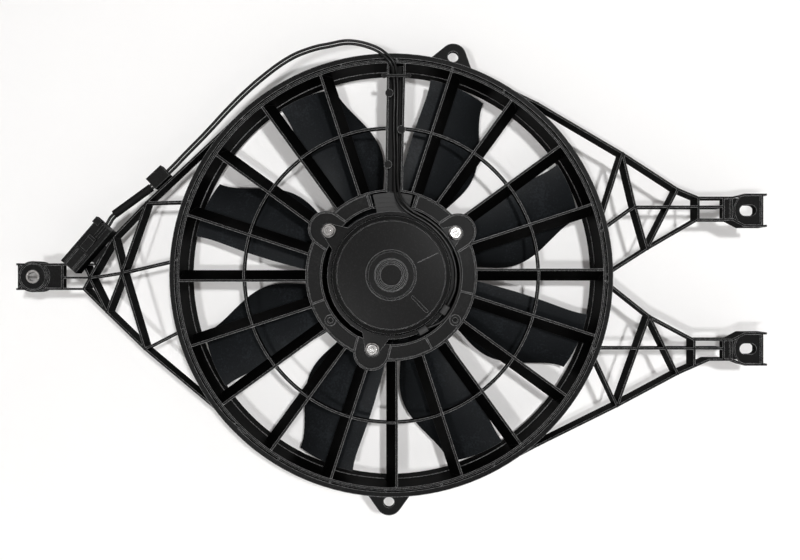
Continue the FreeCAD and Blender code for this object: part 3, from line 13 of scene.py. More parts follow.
import bmesh
import bpy
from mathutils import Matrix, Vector


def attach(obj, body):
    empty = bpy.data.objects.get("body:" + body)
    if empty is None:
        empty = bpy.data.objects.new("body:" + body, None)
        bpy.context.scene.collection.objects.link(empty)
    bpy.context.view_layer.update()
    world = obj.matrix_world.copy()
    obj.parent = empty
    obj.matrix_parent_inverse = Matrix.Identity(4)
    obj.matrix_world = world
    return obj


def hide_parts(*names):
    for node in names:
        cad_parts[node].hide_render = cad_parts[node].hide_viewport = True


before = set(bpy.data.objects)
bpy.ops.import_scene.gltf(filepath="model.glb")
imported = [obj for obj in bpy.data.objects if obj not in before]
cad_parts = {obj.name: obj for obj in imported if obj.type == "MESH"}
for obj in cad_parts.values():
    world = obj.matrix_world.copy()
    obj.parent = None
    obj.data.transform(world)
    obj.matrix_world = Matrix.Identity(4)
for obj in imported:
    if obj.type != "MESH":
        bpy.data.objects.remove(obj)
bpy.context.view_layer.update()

LOG = logging.getLogger("radiator_fan")

Colour = tuple[float, float, float, float]
Place = tuple[float, float, float]

PICTURE_WIDTH = 800
SENSOR_WIDTH = 36.0
SCREW_SIDES = 48
SHANK_SIDES = 24
FAN_AXIS = 1


def grey(level: float, warm: float = 0.0) -> Colour:
    """A grey of the given linear level, warmer where warm is above zero."""
    return (level * (1 + warm), level, level * (1 - warm), 1.0)


class Socket:
    """A number in a material's node tree. Sums on it add Math nodes."""

    def __init__(self, shader: "Shader", link: Any) -> None:
        """Keeps the material being built and the output socket."""
        self.shader = shader
        self.link = link

    def _maths(self, operation: str, first: Any, second: Any = 0.0, clamp: bool = False) -> "Socket":
        """Adds one Math node.

        Args:
            operation: The Math node's operation.
            first: The first number or socket.
            second: The second number or socket.
            clamp: Whether the result stays between 0 and 1.

        Returns:
            The node's output.
        """
        made = self.shader.node("ShaderNodeMath", {"operation": operation, "use_clamp": clamp},
                                {0: first, 1: second})
        return Socket(self.shader, made.outputs[0])

    def __add__(self, other: Any) -> "Socket":
        """This plus other."""
        return self._maths("ADD", self, other)

    __radd__ = __add__

    def __sub__(self, other: Any) -> "Socket":
        """This less other."""
        return self._maths("SUBTRACT", self, other)

    def __rsub__(self, other: Any) -> "Socket":
        """Other less this."""
        return self._maths("SUBTRACT", other, self)

    def __mul__(self, other: Any) -> "Socket":
        """This times other."""
        return self._maths("MULTIPLY", self, other)

    __rmul__ = __mul__

    def limited(self) -> "Socket":
        """This, kept between 0 and 1."""
        return self._maths("ADD", self, 0.0, clamp=True)

    def most(self, other: Any) -> "Socket":
        """The larger of this and other."""
        return self._maths("MAXIMUM", self, other)

    def sine(self) -> "Socket":
        """The sine of this."""
        return self._maths("SINE", self)


class Shader:
    """A material and its node tree."""

    def __init__(self, name: str) -> None:
        """Starts a material with one Principled shader.

        Args:
            name: The material's name.
        """
        self.material = bpy.data.materials.new(name)
        self.material.use_nodes = True
        self.tree = self.material.node_tree
        self.tree.nodes.clear()
        self.output = self.tree.nodes.new("ShaderNodeOutputMaterial")
        self.surface = self.tree.nodes.new("ShaderNodeBsdfPrincipled")
        self.tree.links.new(self.surface.outputs[0], self.output.inputs[0])
        self._object: Optional[Any] = None

    def feed(self, target: Any, value: Any) -> None:
        """Links or sets one input.

        Args:
            target: The input socket.
            value: A socket, a Socket, or plain numbers.
        """
        if isinstance(value, Socket):
            self.tree.links.new(value.link, target)
        elif isinstance(value, bpy.types.NodeSocket):
            self.tree.links.new(value, target)
        else:
            target.default_value = value

    def node(self, kind: str, settings: Optional[dict[str, Any]] = None,
             inputs: Optional[dict[Any, Any]] = None) -> Any:
        """Adds a node of any kind.

        Args:
            kind: The node's type.
            settings: Its settings, with a ramp's stops as (place, colour) pairs.
            inputs: Values or links of its sockets, by name or number.

        Returns:
            The node.
        """
        made = self.tree.nodes.new(kind)
        for name, value in (settings or {}).items():
            if name == "stops":
                ramp = made.color_ramp.elements
                while len(ramp) < len(value):
                    ramp.new(0.5)
                for stop, (place, colour) in zip(ramp, value):
                    stop.position = place
                    stop.color = colour
            else:
                setattr(made, name, value)
        for name, value in (inputs or {}).items():
            self.feed(made.inputs[name], value)
        return made

    def place(self) -> Any:
        """The surface point in the frame's own metres."""
        if self._object is None:
            self._object = self.node("ShaderNodeTexCoord").outputs["Object"]
        return self._object

    def own_normal(self, axis: int) -> Socket:
        """How far the surface faces along one of the part's own axes, from -1 to 1.

        Args:
            axis: 0 for X, 1 for Y or 2 for Z.

        Returns:
            The normal's share along that axis.
        """
        facing = self.node("ShaderNodeTexCoord").outputs["Normal"]
        split = self.node("ShaderNodeSeparateXYZ", {}, {0: facing})
        return Socket(self, split.outputs[axis])

    def noise(self, size: float, detail: float = 3.0, stretch: Place = (1.0, 1.0, 1.0),
              rough: float = 0.55) -> Socket:
        """Soft noise.

        Args:
            size: The size of its spots, in metres.
            detail: How many finer layers it has.
            stretch: How much longer the spots are along X, Y and Z.
            rough: How strong the finer layers are.

        Returns:
            Its level, around 0.5.
        """
        scale = tuple(1.0 / (size * s) for s in stretch)
        spot = self.node("ShaderNodeMapping", {}, {"Vector": self.place(), "Scale": scale})
        made = self.node("ShaderNodeTexNoise", {},
                         {"Vector": spot.outputs[0], "Scale": 1.0, "Detail": detail, "Roughness": rough})
        return Socket(self, made.outputs[0])

    def band(self, value: Any, low: float, high: float, smooth: bool = True) -> Socket:
        """Stretches low to high over 0 to 1.

        Args:
            value: What to stretch.
            low: The level that becomes 0.
            high: The level that becomes 1.
            smooth: Whether the ends are eased.

        Returns:
            The stretched value.
        """
        kind = "SMOOTHSTEP" if smooth else "LINEAR"
        made = self.node("ShaderNodeMapRange", {"interpolation_type": kind, "clamp": True},
                         {0: value, 1: low, 2: high, 3: 0.0, 4: 1.0})
        return Socket(self, made.outputs[0])

    def mix(self, share: Any, first: Any, second: Any) -> Any:
        """Mixes two colours.

        Args:
            share: How much of the second.
            first: A colour or colour socket.
            second: A colour or colour socket.

        Returns:
            The colour socket.
        """
        made = self.node("ShaderNodeMix", {"data_type": "RGBA"}, {0: share, 6: first, 7: second})
        return made.outputs[2]

    def bump(self, height: Any, depth: float, normal: Any = None) -> Any:
        """A bumped normal.

        Args:
            height: The height, from 0 to 1.
            depth: What 1 stands for, in metres.
            normal: The normal under it.

        Returns:
            The normal socket.
        """
        inputs = {"Height": height, "Distance": depth, "Strength": 1.0}
        if normal is not None:
            inputs["Normal"] = normal
        return self.node("ShaderNodeBump", {}, inputs).outputs[0]

    def rounded(self, radius: float) -> tuple[Any, Socket]:
        """The normal of rounded edges, and where those edges are.

        Args:
            radius: The radius of the edges, in metres.

        Returns:
            The normal, and a mask that is 1 on the edges.
        """
        eased = self.node("ShaderNodeBevel", {"samples": 6}, {"Radius": radius}).outputs[0]
        plain = self.node("ShaderNodeNewGeometry").outputs["Normal"]
        same = self.node("ShaderNodeVectorMath", {"operation": "DOT_PRODUCT"}, {0: eased, 1: plain})
        return eased, self.band(1.0 - Socket(self, same.outputs["Value"]), 0.005, 0.1)

    def background_rays(self) -> Socket:
        """1 for rays that show the background: straight to the camera, mirrored or through glass."""
        path = self.node("ShaderNodeLightPath")
        camera, glossy, through = (Socket(self, path.outputs["Is %s Ray" % kind])
                                   for kind in ("Camera", "Glossy", "Transmission"))
        return (camera + glossy + through).limited()

    def finish(self, **inputs: Any) -> bpy.types.Material:
        """Sets the Principled shader's inputs.

        Args:
            inputs: Values or links, with underscores for spaces in the names.

        Returns:
            The material.
        """
        for name, value in inputs.items():
            self.feed(self.surface.inputs[name.replace("_", " ")], value)
        return self.material


class Sky(Shader):
    """The world and its node tree."""

    def __init__(self, name: str) -> None:
        """Starts a world with its plain background.

        Args:
            name: The world's name.
        """
        world = bpy.data.worlds.new(name)
        bpy.context.scene.world = world
        world.use_nodes = True
        self.tree = world.node_tree
        self.surface = self.tree.nodes["Background"]
        self._object = None


class Finish:
    """A finish of one kind of piece, made once."""

    name: str

    def build(self) -> bpy.types.Material:
        """Makes the material."""
        raise NotImplementedError

    def material(self) -> bpy.types.Material:
        """The material, made on first use."""
        return bpy.data.materials.get(self.name) or self.build()


@dataclass(frozen=True)
class MouldedPlastic(Finish):
    """Glass-filled black plastic, satin, with a painted highlight along its edges and painted light on its
    front and back faces, mottled by scuffs.
    """

    name: str = "moulded_plastic"
    colour: float = 0.0018
    # face: the paler colour of faces along the fan axis, painted light.
    face: float = 0.009
    # edge_highlight: the colour of the painted highlight along the edges.
    edge_highlight: float = 0.42
    edge_radius: float = 0.0009
    roughness: float = 0.36
    gloss: float = 0.055
    grain: float = 0.00006
    grain_size: float = 0.0011
    scuffs: float = 0.5
    stretch: Place = (1.0, 1.0, 1.0)
    # blue: a blue tint in that painted light on faces along the fan axis.
    blue: float = 0.0

    def build(self) -> bpy.types.Material:
        """Makes the material."""
        shader = Shader(self.name)
        normal, edges = shader.rounded(self.edge_radius)
        cloudy = shader.noise(0.035, 4.0, self.stretch)
        speckle = shader.noise(0.0022, 3.0, self.stretch)
        fine = shader.noise(self.grain_size, 3.0)
        # flat is 1 on faces along the fan axis, which get painted light.
        turned = shader.own_normal(FAN_AXIS)
        flat = shader.band(turned * turned, 0.3, 0.9)
        scuffed = shader.band(cloudy * 0.55 + speckle * 0.45, 0.5, 0.68)
        highlight_speckle = shader.band(speckle, 0.36, 0.64)
        # Painted light: faces along the fan axis are paler, mottled by scuffs.
        lit_face_mottle = flat * (scuffed * self.scuffs + fine * 0.5 + 0.35)
        body = shader.mix(lit_face_mottle.limited(), grey(self.colour), grey(self.face * 1.6, -self.blue))
        # Painted highlight along the edges, broken up by speckle, strongest on faces along the fan axis.
        lines = edges * (highlight_speckle * 0.5 + 0.3) * (flat * 0.8 + 0.2)
        colour = shader.mix(lines, body, grey(self.edge_highlight))
        return shader.finish(Base_Color=colour, Roughness=0.8, Coat_Weight=self.gloss,
                             Coat_Roughness=self.roughness, Specular_IOR_Level=0.0,
                             Normal=shader.bump(fine, self.grain, normal))


@dataclass(frozen=True)
class DippedPaint(Finish):
    """Black dip paint over pressed steel: a slightly pebbled skin, with painted light on its faces along the
    fan axis and a painted highlight along its edges.
    """

    name: str = "dipped_paint"
    colour: float = 0.0025
    gloss: float = 0.09

    def build(self) -> bpy.types.Material:
        """Makes the material."""
        shader = Shader(self.name)
        normal, edges = shader.rounded(0.0003)
        pebble = shader.noise(0.0016, 3.0, rough=0.6)
        lit_face_mottle = shader.band(pebble, 0.5, 0.72)
        turned = shader.own_normal(FAN_AXIS)
        flat = shader.band(turned * turned, 0.25, 0.9)
        # Painted light: faces along the fan axis are paler, mottled by the pebbling.
        body = shader.mix(flat * (lit_face_mottle * 0.5 + 0.25), grey(self.colour), grey(0.014))
        # Painted highlight along the edges.
        colour = shader.mix(edges * 0.95, body, grey(0.6))
        return shader.finish(Base_Color=colour, Roughness=0.7, Coat_Weight=self.gloss,
                             Coat_Roughness=0.24, Specular_IOR_Level=0.0,
                             Normal=shader.bump(pebble, 0.00022, normal))


@dataclass(frozen=True)
class ZincPlate(Finish):
    """Bright zinc plate with faint blotches and painted shade along its edges."""

    name: str = "zinc_plate"
    level: float = 0.42

    def build(self) -> bpy.types.Material:
        """Makes the material."""
        shader = Shader(self.name)
        normal, edges = shader.rounded(0.0003)
        blotch = shader.noise(0.0035, 3.0)
        fine = shader.noise(0.0005, 2.0)
        tone = shader.mix(shader.band(blotch, 0.35, 0.65), grey(self.level * 0.72, 0.02),
                          grey(self.level, 0.01))
        # Painted shade: dark lines along the edges of the dished head and flange.
        tone = shader.mix(edges * 0.8, tone, grey(0.06))
        rough = blotch * 0.1 + 0.05 + edges * 0.05
        return shader.finish(Base_Color=tone, Metallic=1.0, Roughness=rough.limited(),
                             Normal=shader.bump(fine, 0.00002, normal))


@dataclass(frozen=True)
class BareMetal(Finish):
    """Bare metal such as copper, brass, sintered magnet or stacked sheet."""

    name: str = "copper"
    colour: Colour = (0.72, 0.34, 0.16, 1.0)
    roughness: float = 0.35
    metallic: float = 1.0
    lines: float = 0.0

    def build(self) -> bpy.types.Material:
        """Makes the material."""
        shader = Shader(self.name)
        normal, edges = shader.rounded(0.0003)
        blotch = shader.noise(0.004, 3.0)
        dark = tuple(c * 0.6 for c in self.colour[:3]) + (1.0,)
        tone = shader.mix(shader.band(blotch, 0.3, 0.7), dark, self.colour)
        height = shader.noise(0.0006, 2.0)
        if self.lines:
            along = shader.node("ShaderNodeSeparateXYZ", {}, {0: shader.place()}).outputs[1]
            height = (Socket(shader, along) * (2 * math.pi / self.lines)).sine() * 0.5 + 0.5
        return shader.finish(Base_Color=tone, Metallic=self.metallic,
                             Roughness=(blotch * 0.2 + self.roughness - 0.1 - edges * 0.05).limited(),
                             Normal=shader.bump(height, 0.00008, normal))


@dataclass(frozen=True)
class SoftCover(Finish):
    """Soft black insulation or rubber, with a low sheen and a little dust."""

    name: str = "lead_insulation"
    colour: float = 0.006
    gloss: float = 0.3
    roughness: float = 0.28
    dust: float = 0.3

    def build(self) -> bpy.types.Material:
        """Makes the material."""
        shader = Shader(self.name)
        patch = shader.noise(0.012, 4.0)
        fine = shader.noise(0.0009, 3.0)
        dusty = shader.band(patch * 0.6 + fine * 0.4, 0.5, 0.66)
        colour = shader.mix(dusty * self.dust, grey(self.colour), grey(0.035, 0.03))
        return shader.finish(Base_Color=colour, Roughness=0.8, Coat_Weight=self.gloss,
                             Coat_Roughness=self.roughness, Specular_IOR_Level=0.0,
                             Normal=shader.bump(fine, 0.00006))


@dataclass(frozen=True)
class WovenSleeve(Finish):
    """Tight woven sleeve: two crossing sets of strands."""

    name: str = "woven_sleeve"
    strand: float = 0.0016

    def build(self) -> bpy.types.Material:
        """Makes the material."""
        shader = Shader(self.name)
        flat = shader.node("ShaderNodeUVMap").outputs[0]
        split = shader.node("ShaderNodeSeparateXYZ", {}, {0: flat})
        along = Socket(shader, split.outputs[0])
        round_it = Socket(shader, split.outputs[1])
        turn = 2 * math.pi
        one = ((along * (1 / self.strand) + round_it * 12.0) * turn).sine()
        two = ((along * (1 / self.strand) - round_it * 12.0) * turn).sine()
        over = shader.band(one.most(two), -0.4, 1.0)
        colour = shader.mix(over, grey(0.003), grey(0.022))
        return shader.finish(Base_Color=colour, Roughness=0.8, Coat_Weight=0.1, Coat_Roughness=0.5,
                             Specular_IOR_Level=0.0, Normal=shader.bump(over, 0.0003))


class Wall(Enum):
    """The plain surfaces around the part."""

    BACK = "backdrop"
    FLOOR = "floor"


# In every MouldedPlastic, face is the paler painted light on faces along the fan axis and edge_highlight the
# painted highlight along the edges.
PLASTIC = MouldedPlastic()
FAN_PLASTIC = MouldedPlastic(name="fan_plastic", colour=0.003, face=0.011, edge_highlight=0.14, scuffs=0.7,
                             blue=0.12)
NYLON = MouldedPlastic(name="nylon", face=0.011, edge_highlight=0.2, grain=0.00004)
PAINT = DippedPaint()
ZINC = ZincPlate()
COPPER = BareMetal(roughness=0.3)
BRASS = BareMetal("brass", (0.78, 0.56, 0.25, 1.0), 0.3)
FERRITE = BareMetal("ferrite", grey(0.06), 0.6, 0.2)
SHEET_STACK = BareMetal("sheet_stack", grey(0.35), 0.4, 1.0, 0.0005)
CARD = MouldedPlastic(name="brown_card", colour=0.05, face=0.05, edge_highlight=0.12)
CARBON = BareMetal("carbon", grey(0.04), 0.6, 0.0)
INSULATION = SoftCover()
RUBBER = SoftCover(name="rubber", colour=0.01, gloss=0.1, roughness=0.5, dust=0.4)
SLEEVE = WovenSleeve()

CARRIED_OVER: dict[str, Finish] = {
    "shroud_ring": PLASTIC, "stator_grille": PLASTIC, "left_arm": PLASTIC, "upper_right_arm": PLASTIC,
    "lower_right_arm": PLASTIC, "left_arm_sleeve": ZINC, "fan_wheel": FAN_PLASTIC,
    "fan_retaining_clip": ZINC, "motor_end_cap": PAINT, "motor_can": PAINT, "motor_flange": PAINT,
    "motor_screws": ZINC, "screw_inserts": BRASS, "motor_magnets": FERRITE,
    "armature_core": SHEET_STACK, "armature_windings": COPPER, "commutator": COPPER,
    "motor_shaft": ZINC, "shaft_spacer": ZINC, "brush_card": CARD, "brushes": CARBON,
    "brush_springs": ZINC, "cap_bush": BRASS, "can_bearing": ZINC, "power_lead": INSULATION,
    "ground_lead": INSULATION, "lead_entries": RUBBER, "lead_seal": RUBBER, "trough_tie": NYLON,
    "harness_clip": NYLON, "harness_sleeve": SLEEVE, "connector_housing": NYLON,
    "connector_seal": RUBBER, "connector_terminals": BRASS, "connector_lock": NYLON,
}


def new_piece(name: str, shape: bmesh.types.BMesh, finish: Finish, body: str,
              smooth: float = 35.0) -> bpy.types.Object:
    """Turns a bmesh into a piece of the part.

    Args:
        name: The piece's name.
        shape: Its mesh, freed here.
        finish: Its finish.
        body: The body that it moves with.
        smooth: Edges flatter than this are shaded smooth, in degrees.

    Returns:
        The object.
    """
    mesh = bpy.data.meshes.new(name)
    bmesh.ops.recalc_face_normals(shape, faces=shape.faces[:])
    shape.to_mesh(mesh)
    shape.free()
    for face in mesh.polygons:
        face.use_smooth = True
    mesh.set_sharp_from_angle(angle=math.radians(smooth))
    piece = bpy.data.objects.new(name, mesh)
    bpy.context.scene.collection.objects.link(piece)
    mesh.materials.append(finish.material())
    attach(piece, body)
    return piece


def lathe(profile: Sequence[tuple[float, float]], sides: int = 64,
          shape: Optional[bmesh.types.BMesh] = None) -> bmesh.types.BMesh:
    """Turns a profile about the Y axis.

    Args:
        profile: Closed run of (radius, y); a radius of 0 is the axis.
        sides: How many steps round.
        shape: A bmesh to add to.

    Returns:
        The bmesh.
    """
    shape = shape or bmesh.new()
    rings = []
    for radius, y in profile:
        if radius <= 1e-9:
            rings.append([shape.verts.new((0.0, y, 0.0))])
            continue
        ring = []
        for i in range(sides):
            turn = 2 * math.pi * i / sides
            ring.append(shape.verts.new((radius * math.cos(turn), y, radius * math.sin(turn))))
        rings.append(ring)
    for first, second in zip(rings, rings[1:] + rings[:1]):
        for i in range(sides):
            j = (i + 1) % sides
            corners = []
            for vert in (first[i % len(first)], first[j % len(first)], second[j % len(second)],
                         second[i % len(second)]):
                if vert not in corners:
                    corners.append(vert)
            if len(corners) > 2:
                shape.faces.new(corners)
    return shape


def bar(shape: bmesh.types.BMesh, start: Sequence[float], end: Sequence[float], width: float,
        near: float, far: float, round_steps: int = 0, chamfer: float = 0.25) -> None:
    """Adds a straight bar with a chamfered near face, in millimetres.

    Args:
        shape: The bmesh to add to.
        start: Its first end, as (x, z).
        end: Its other end, as (x, z).
        width: How wide it is.
        near: Where its near face is, along Y.
        far: Where its back is, along Y.
        round_steps: How many steps each rounded end has, or 0 for square ends.
        chamfer: How far the near face is drawn in.
    """
    first, last = Vector(start), Vector(end)
    along = (last - first).normalized()
    side = Vector((-along.y, along.x))
    rings = []
    for level, inset in ((far, 0.0), (near + chamfer, 0.0), (near, chamfer)):
        half = width / 2 - inset
        ring = []
        for middle, way in ((first + along * inset, -1.0), (last - along * inset, 1.0)):
            if round_steps:
                middle = middle + along * (-way * half)
                turns = [math.pi * i / round_steps for i in range(round_steps + 1)]
                ring += [middle + side * (-way * half * math.cos(t)) + along * (way * half * math.sin(t))
                         for t in turns]
            else:
                ring += [middle - side * (way * half), middle + side * (way * half)]
        rings.append([shape.verts.new((p.x / 1000, level / 1000, p.y / 1000)) for p in ring])
    for before, after in zip(rings, rings[1:]):
        for i in range(len(before)):
            j = (i + 1) % len(before)
            shape.faces.new((before[i], before[j], after[j], after[i]))
    shape.faces.new(rings[0])
    shape.faces.new(rings[-1])


@dataclass(frozen=True)
class Lamp:
    """A square lamp: its name, place, what it faces, its side in metres and its power in watts."""

    name: str
    place: Place
    target: Place
    size: float
    power: float

    def build(self) -> None:
        """Adds it to the scene."""
        light = bpy.data.lights.new(self.name, "AREA")
        light.shape = "SQUARE"
        light.size = self.size
        light.energy = self.power
        lamp = bpy.data.objects.new(self.name, light)
        lamp.location = self.place
        towards = Vector(self.target) - Vector(self.place)
        lamp.rotation_euler = towards.to_track_quat("-Z", "Y").to_euler()
        bpy.context.scene.collection.objects.link(lamp)


@dataclass
class Studio:
    """Camera, lamps, backdrop and floor.

    The two small lamps stand behind the camera, high right and low left, and cast the shadows.
    """

    scale: float = 0.96e-3
    centre: tuple[float, float] = (0.0084, -0.0046)
    distance: float = 0.8
    back: float = 0.0625
    floor: float = -0.325
    reach: float = 3.0
    glow: float = 0.05
    sky_light: float = 0.08
    sky_seen: float = 0.8
    lamps: tuple[Lamp, ...] = (
        Lamp("main_lamp", (0.4, -2.2, 0.3), (0.0, 0.05, 0.0), 0.12, 28.0),
        Lamp("second_lamp", (-0.37, -2.2, -0.32), (0.0, 0.05, 0.0), 0.12, 15.5),
        Lamp("top_lamp", (0.1, -0.6, 2.0), (0.0, 0.0, 0.0), 1.2, 2.5),
        Lamp("back_lamp", (0.4, 1.8, 1.0), (0.0, 0.0, 0.0), 1.2, 14.0))

    def camera(self) -> None:
        """Looks along the fan axis from the motor side, as the photograph does."""
        lens = bpy.data.cameras.new("camera")
        lens.sensor_width = SENSOR_WIDTH
        lens.lens = SENSOR_WIDTH * self.distance / (PICTURE_WIDTH * self.scale)
        lens.clip_end = 50.0
        view = bpy.data.objects.new("camera", lens)
        view.location = (self.centre[0], -self.distance, self.centre[1])
        view.rotation_euler = (math.pi / 2, 0.0, 0.0)
        bpy.context.scene.collection.objects.link(view)
        bpy.context.scene.camera = view

    def wall(self, kind: Wall) -> None:
        """Adds the backdrop or the floor, pale, seen from its front only, and open to lamps behind it.

        Args:
            kind: Which of the two.
        """
        shape = bmesh.new()
        far = self.reach
        square = [(-far, -far), (-far, far), (far, far), (far, -far)]
        if kind is Wall.BACK:
            corners = [(x, self.back, z) for x, z in square]
        else:
            corners = [(x, y, self.floor) for x, y in square]
        shape.faces.new([shape.verts.new(corner) for corner in corners])
        mesh = bpy.data.meshes.new(kind.value)
        shape.to_mesh(mesh)
        shape.free()
        if mesh.polygons[0].normal.y > 0.5 or mesh.polygons[0].normal.z < -0.5:
            mesh.flip_normals()
        sheet = bpy.data.objects.new(kind.value, mesh)
        bpy.context.scene.collection.objects.link(sheet)
        shader = Shader(kind.value)
        shader.finish(Base_Color=(0.9, 0.895, 0.89, 1.0), Roughness=0.9, Specular_IOR_Level=0.1,
                      Emission_Color=(1.0, 0.93, 0.9, 1.0))
        shader.feed(shader.surface.inputs["Emission Strength"], shader.background_rays() * self.glow)
        front = 1.0 - Socket(shader, shader.node("ShaderNodeNewGeometry").outputs["Backfacing"])
        lit_through = Socket(shader, shader.node("ShaderNodeLightPath").outputs["Is Shadow Ray"])
        shader.feed(shader.surface.inputs["Alpha"], front * (1.0 - lit_through))
        mesh.materials.append(shader.material)

    def build(self) -> None:
        """Makes the whole studio."""
        self.camera()
        for lamp in self.lamps:
            lamp.build()
        for kind in Wall:
            self.wall(kind)
        sky = Sky("studio")
        sky.feed(sky.surface.inputs["Color"], (1.0, 0.97, 0.95, 1.0))
        sky.feed(sky.surface.inputs["Strength"], sky.background_rays() * self.sky_seen + self.sky_light)
        bpy.context.scene.view_settings.view_transform = "Standard"


@dataclass
class Leads:
    """The two leads, on the route that the frame's solids take, in millimetres."""

    pitch: float = 3.1
    radius: float = 1.35
    pair: list[Place] = field(default_factory=lambda: [
        (-270.7, -6.2, 47.0), (-269.1, -6.0, 48.9), (-265.6, -4.6, 57.0), (-226.5, -4.2, 85.6),
        (-209.2, -3.9, 101.8), (-195.7, -3.4, 116.4), (-177.4, -3.2, 134.8), (-152.9, -3.2, 161.8),
        (-128.4, -3.5, 185.0),
        (-97.8, -3.5, 208.2), (-73.2, -3.3, 217.4), (-58.8, -3.2, 219.9), (-44.4, -3.2, 223.3),
        (-30.0, -3.2, 222.1), (-13.4, -3.4, 216.6), (-3.8, -3.6, 209.4), (2.4, -3.0, 202.0),
        (4.3, 3.0, 191.0), (4.8, 6.2, 172.0), (3.6, 7.4, 146.0), (4.7, 7.2, 118.0), (4.4, 5.2, 97.0)])
    ground_end: list[Place] = field(default_factory=lambda: [(3.2, 1.0, 80.0), (7.4, -1.6, 67.8)])
    power_end: list[Place] = field(default_factory=lambda: [(6.9, 0.8, 82.0), (11.0, -1.8, 70.2)])
    ground_round: list[Place] = field(default_factory=lambda: [
        (72, 61.4, -1.0), (56, 61.2, -0.6), (40, 61.4, -0.5), (24, 62.0, -0.5), (8, 62.6, -0.5),
        (-8, 62.6, -1.0), (-18, 62.2, -2.6)])
    power_round: list[Place] = field(default_factory=lambda: [
        (72, 64.6, -1.8), (56, 64.4, -1.8), (40, 64.7, -1.8), (24, 65.9, -1.8), (8, 66.9, -1.8),
        (-8, 67.2, -1.8), (-24, 67.0, -2.0), (-38, 66.6, -2.6), (-47, 64.8, -3.8)])
    can_radius: float = 57.6
    entry_radius: float = 3.1
    entry_reach: float = 5.1
    entry_y: float = -4.4
    power_entry: float = 300.0
    ground_entry: float = 327.0

    def beside(self, shift: float) -> list[Vector]:
        """The pair's route moved sideways, for one lead.

        Args:
            shift: How far to its right as seen from the motor side, in millimetres.

        Returns:
            The lead's points.
        """
        route = [Vector(place) for place in self.pair]
        moved = []
        for i, here in enumerate(route):
            before = here - route[i - 1] if i > 0 else route[1] - here
            after = route[i + 1] - here if i < len(route) - 1 else before
            before, after = (Vector((v.x, 0.0, v.z)).normalized() for v in (before, after))
            side = Vector((before.z, 0, -before.x)) + Vector((after.z, 0, -after.x))
            moved.append(here + side * (shift * 2 / side.length_squared))
        return moved

    def mouth(self, angle: float) -> Vector:
        """Where a lead ends, at the mouth of its rubber entry.

        Args:
            angle: The entry's angle about the fan axis, in degrees.

        Returns:
            The place of the lead's end.
        """
        out = self.can_radius + self.entry_radius + 0.15
        cos, sin = math.cos(math.radians(angle)), math.sin(math.radians(angle))
        return Vector((out * cos - self.entry_reach * sin, self.entry_y,
                       out * sin + self.entry_reach * cos))

    def around(self, places: Sequence[Place]) -> list[Vector]:
        """Points beside the motor, from their angle, distance from the fan axis and depth."""
        return [Vector((out * math.cos(math.radians(angle)), depth, out * math.sin(math.radians(angle))))
                for angle, out, depth in places]

    def routes(self) -> dict[str, list[Vector]]:
        """Both leads' points, in millimetres."""
        gap = self.pitch / 2
        ground = self.beside(gap) + [Vector(place) for place in self.ground_end]
        ground += self.around(self.ground_round) + [self.mouth(self.ground_entry)]
        power = self.beside(-gap) + [Vector(place) for place in self.power_end]
        power += self.around(self.power_round) + [self.mouth(self.power_entry)]
        return {"power_lead": power, "ground_lead": ground}

    def build(self) -> None:
        """Makes both leads as smooth curves."""
        for name, route in self.routes().items():
            line = bpy.data.curves.new(name + "_line", "CURVE")
            line.dimensions = "3D"
            line.resolution_u = 8
            line.bevel_depth = self.radius / 1000
            line.bevel_resolution = 4
            spline = line.splines.new("NURBS")
            spline.points.add(len(route) - 1)
            for point, place in zip(spline.points, route):
                point.co = (*(place / 1000), 1.0)
            spline.order_u = 3
            spline.use_endpoint_u = True
            line.use_fill_caps = True
            lead = bpy.data.objects.new(name + "_cover", line)
            bpy.context.scene.collection.objects.link(lead)
            line.materials.append(INSULATION.material())
            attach(lead, "shroud")
            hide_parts(name)
            LOG.info("%s: %d points", name, len(route))


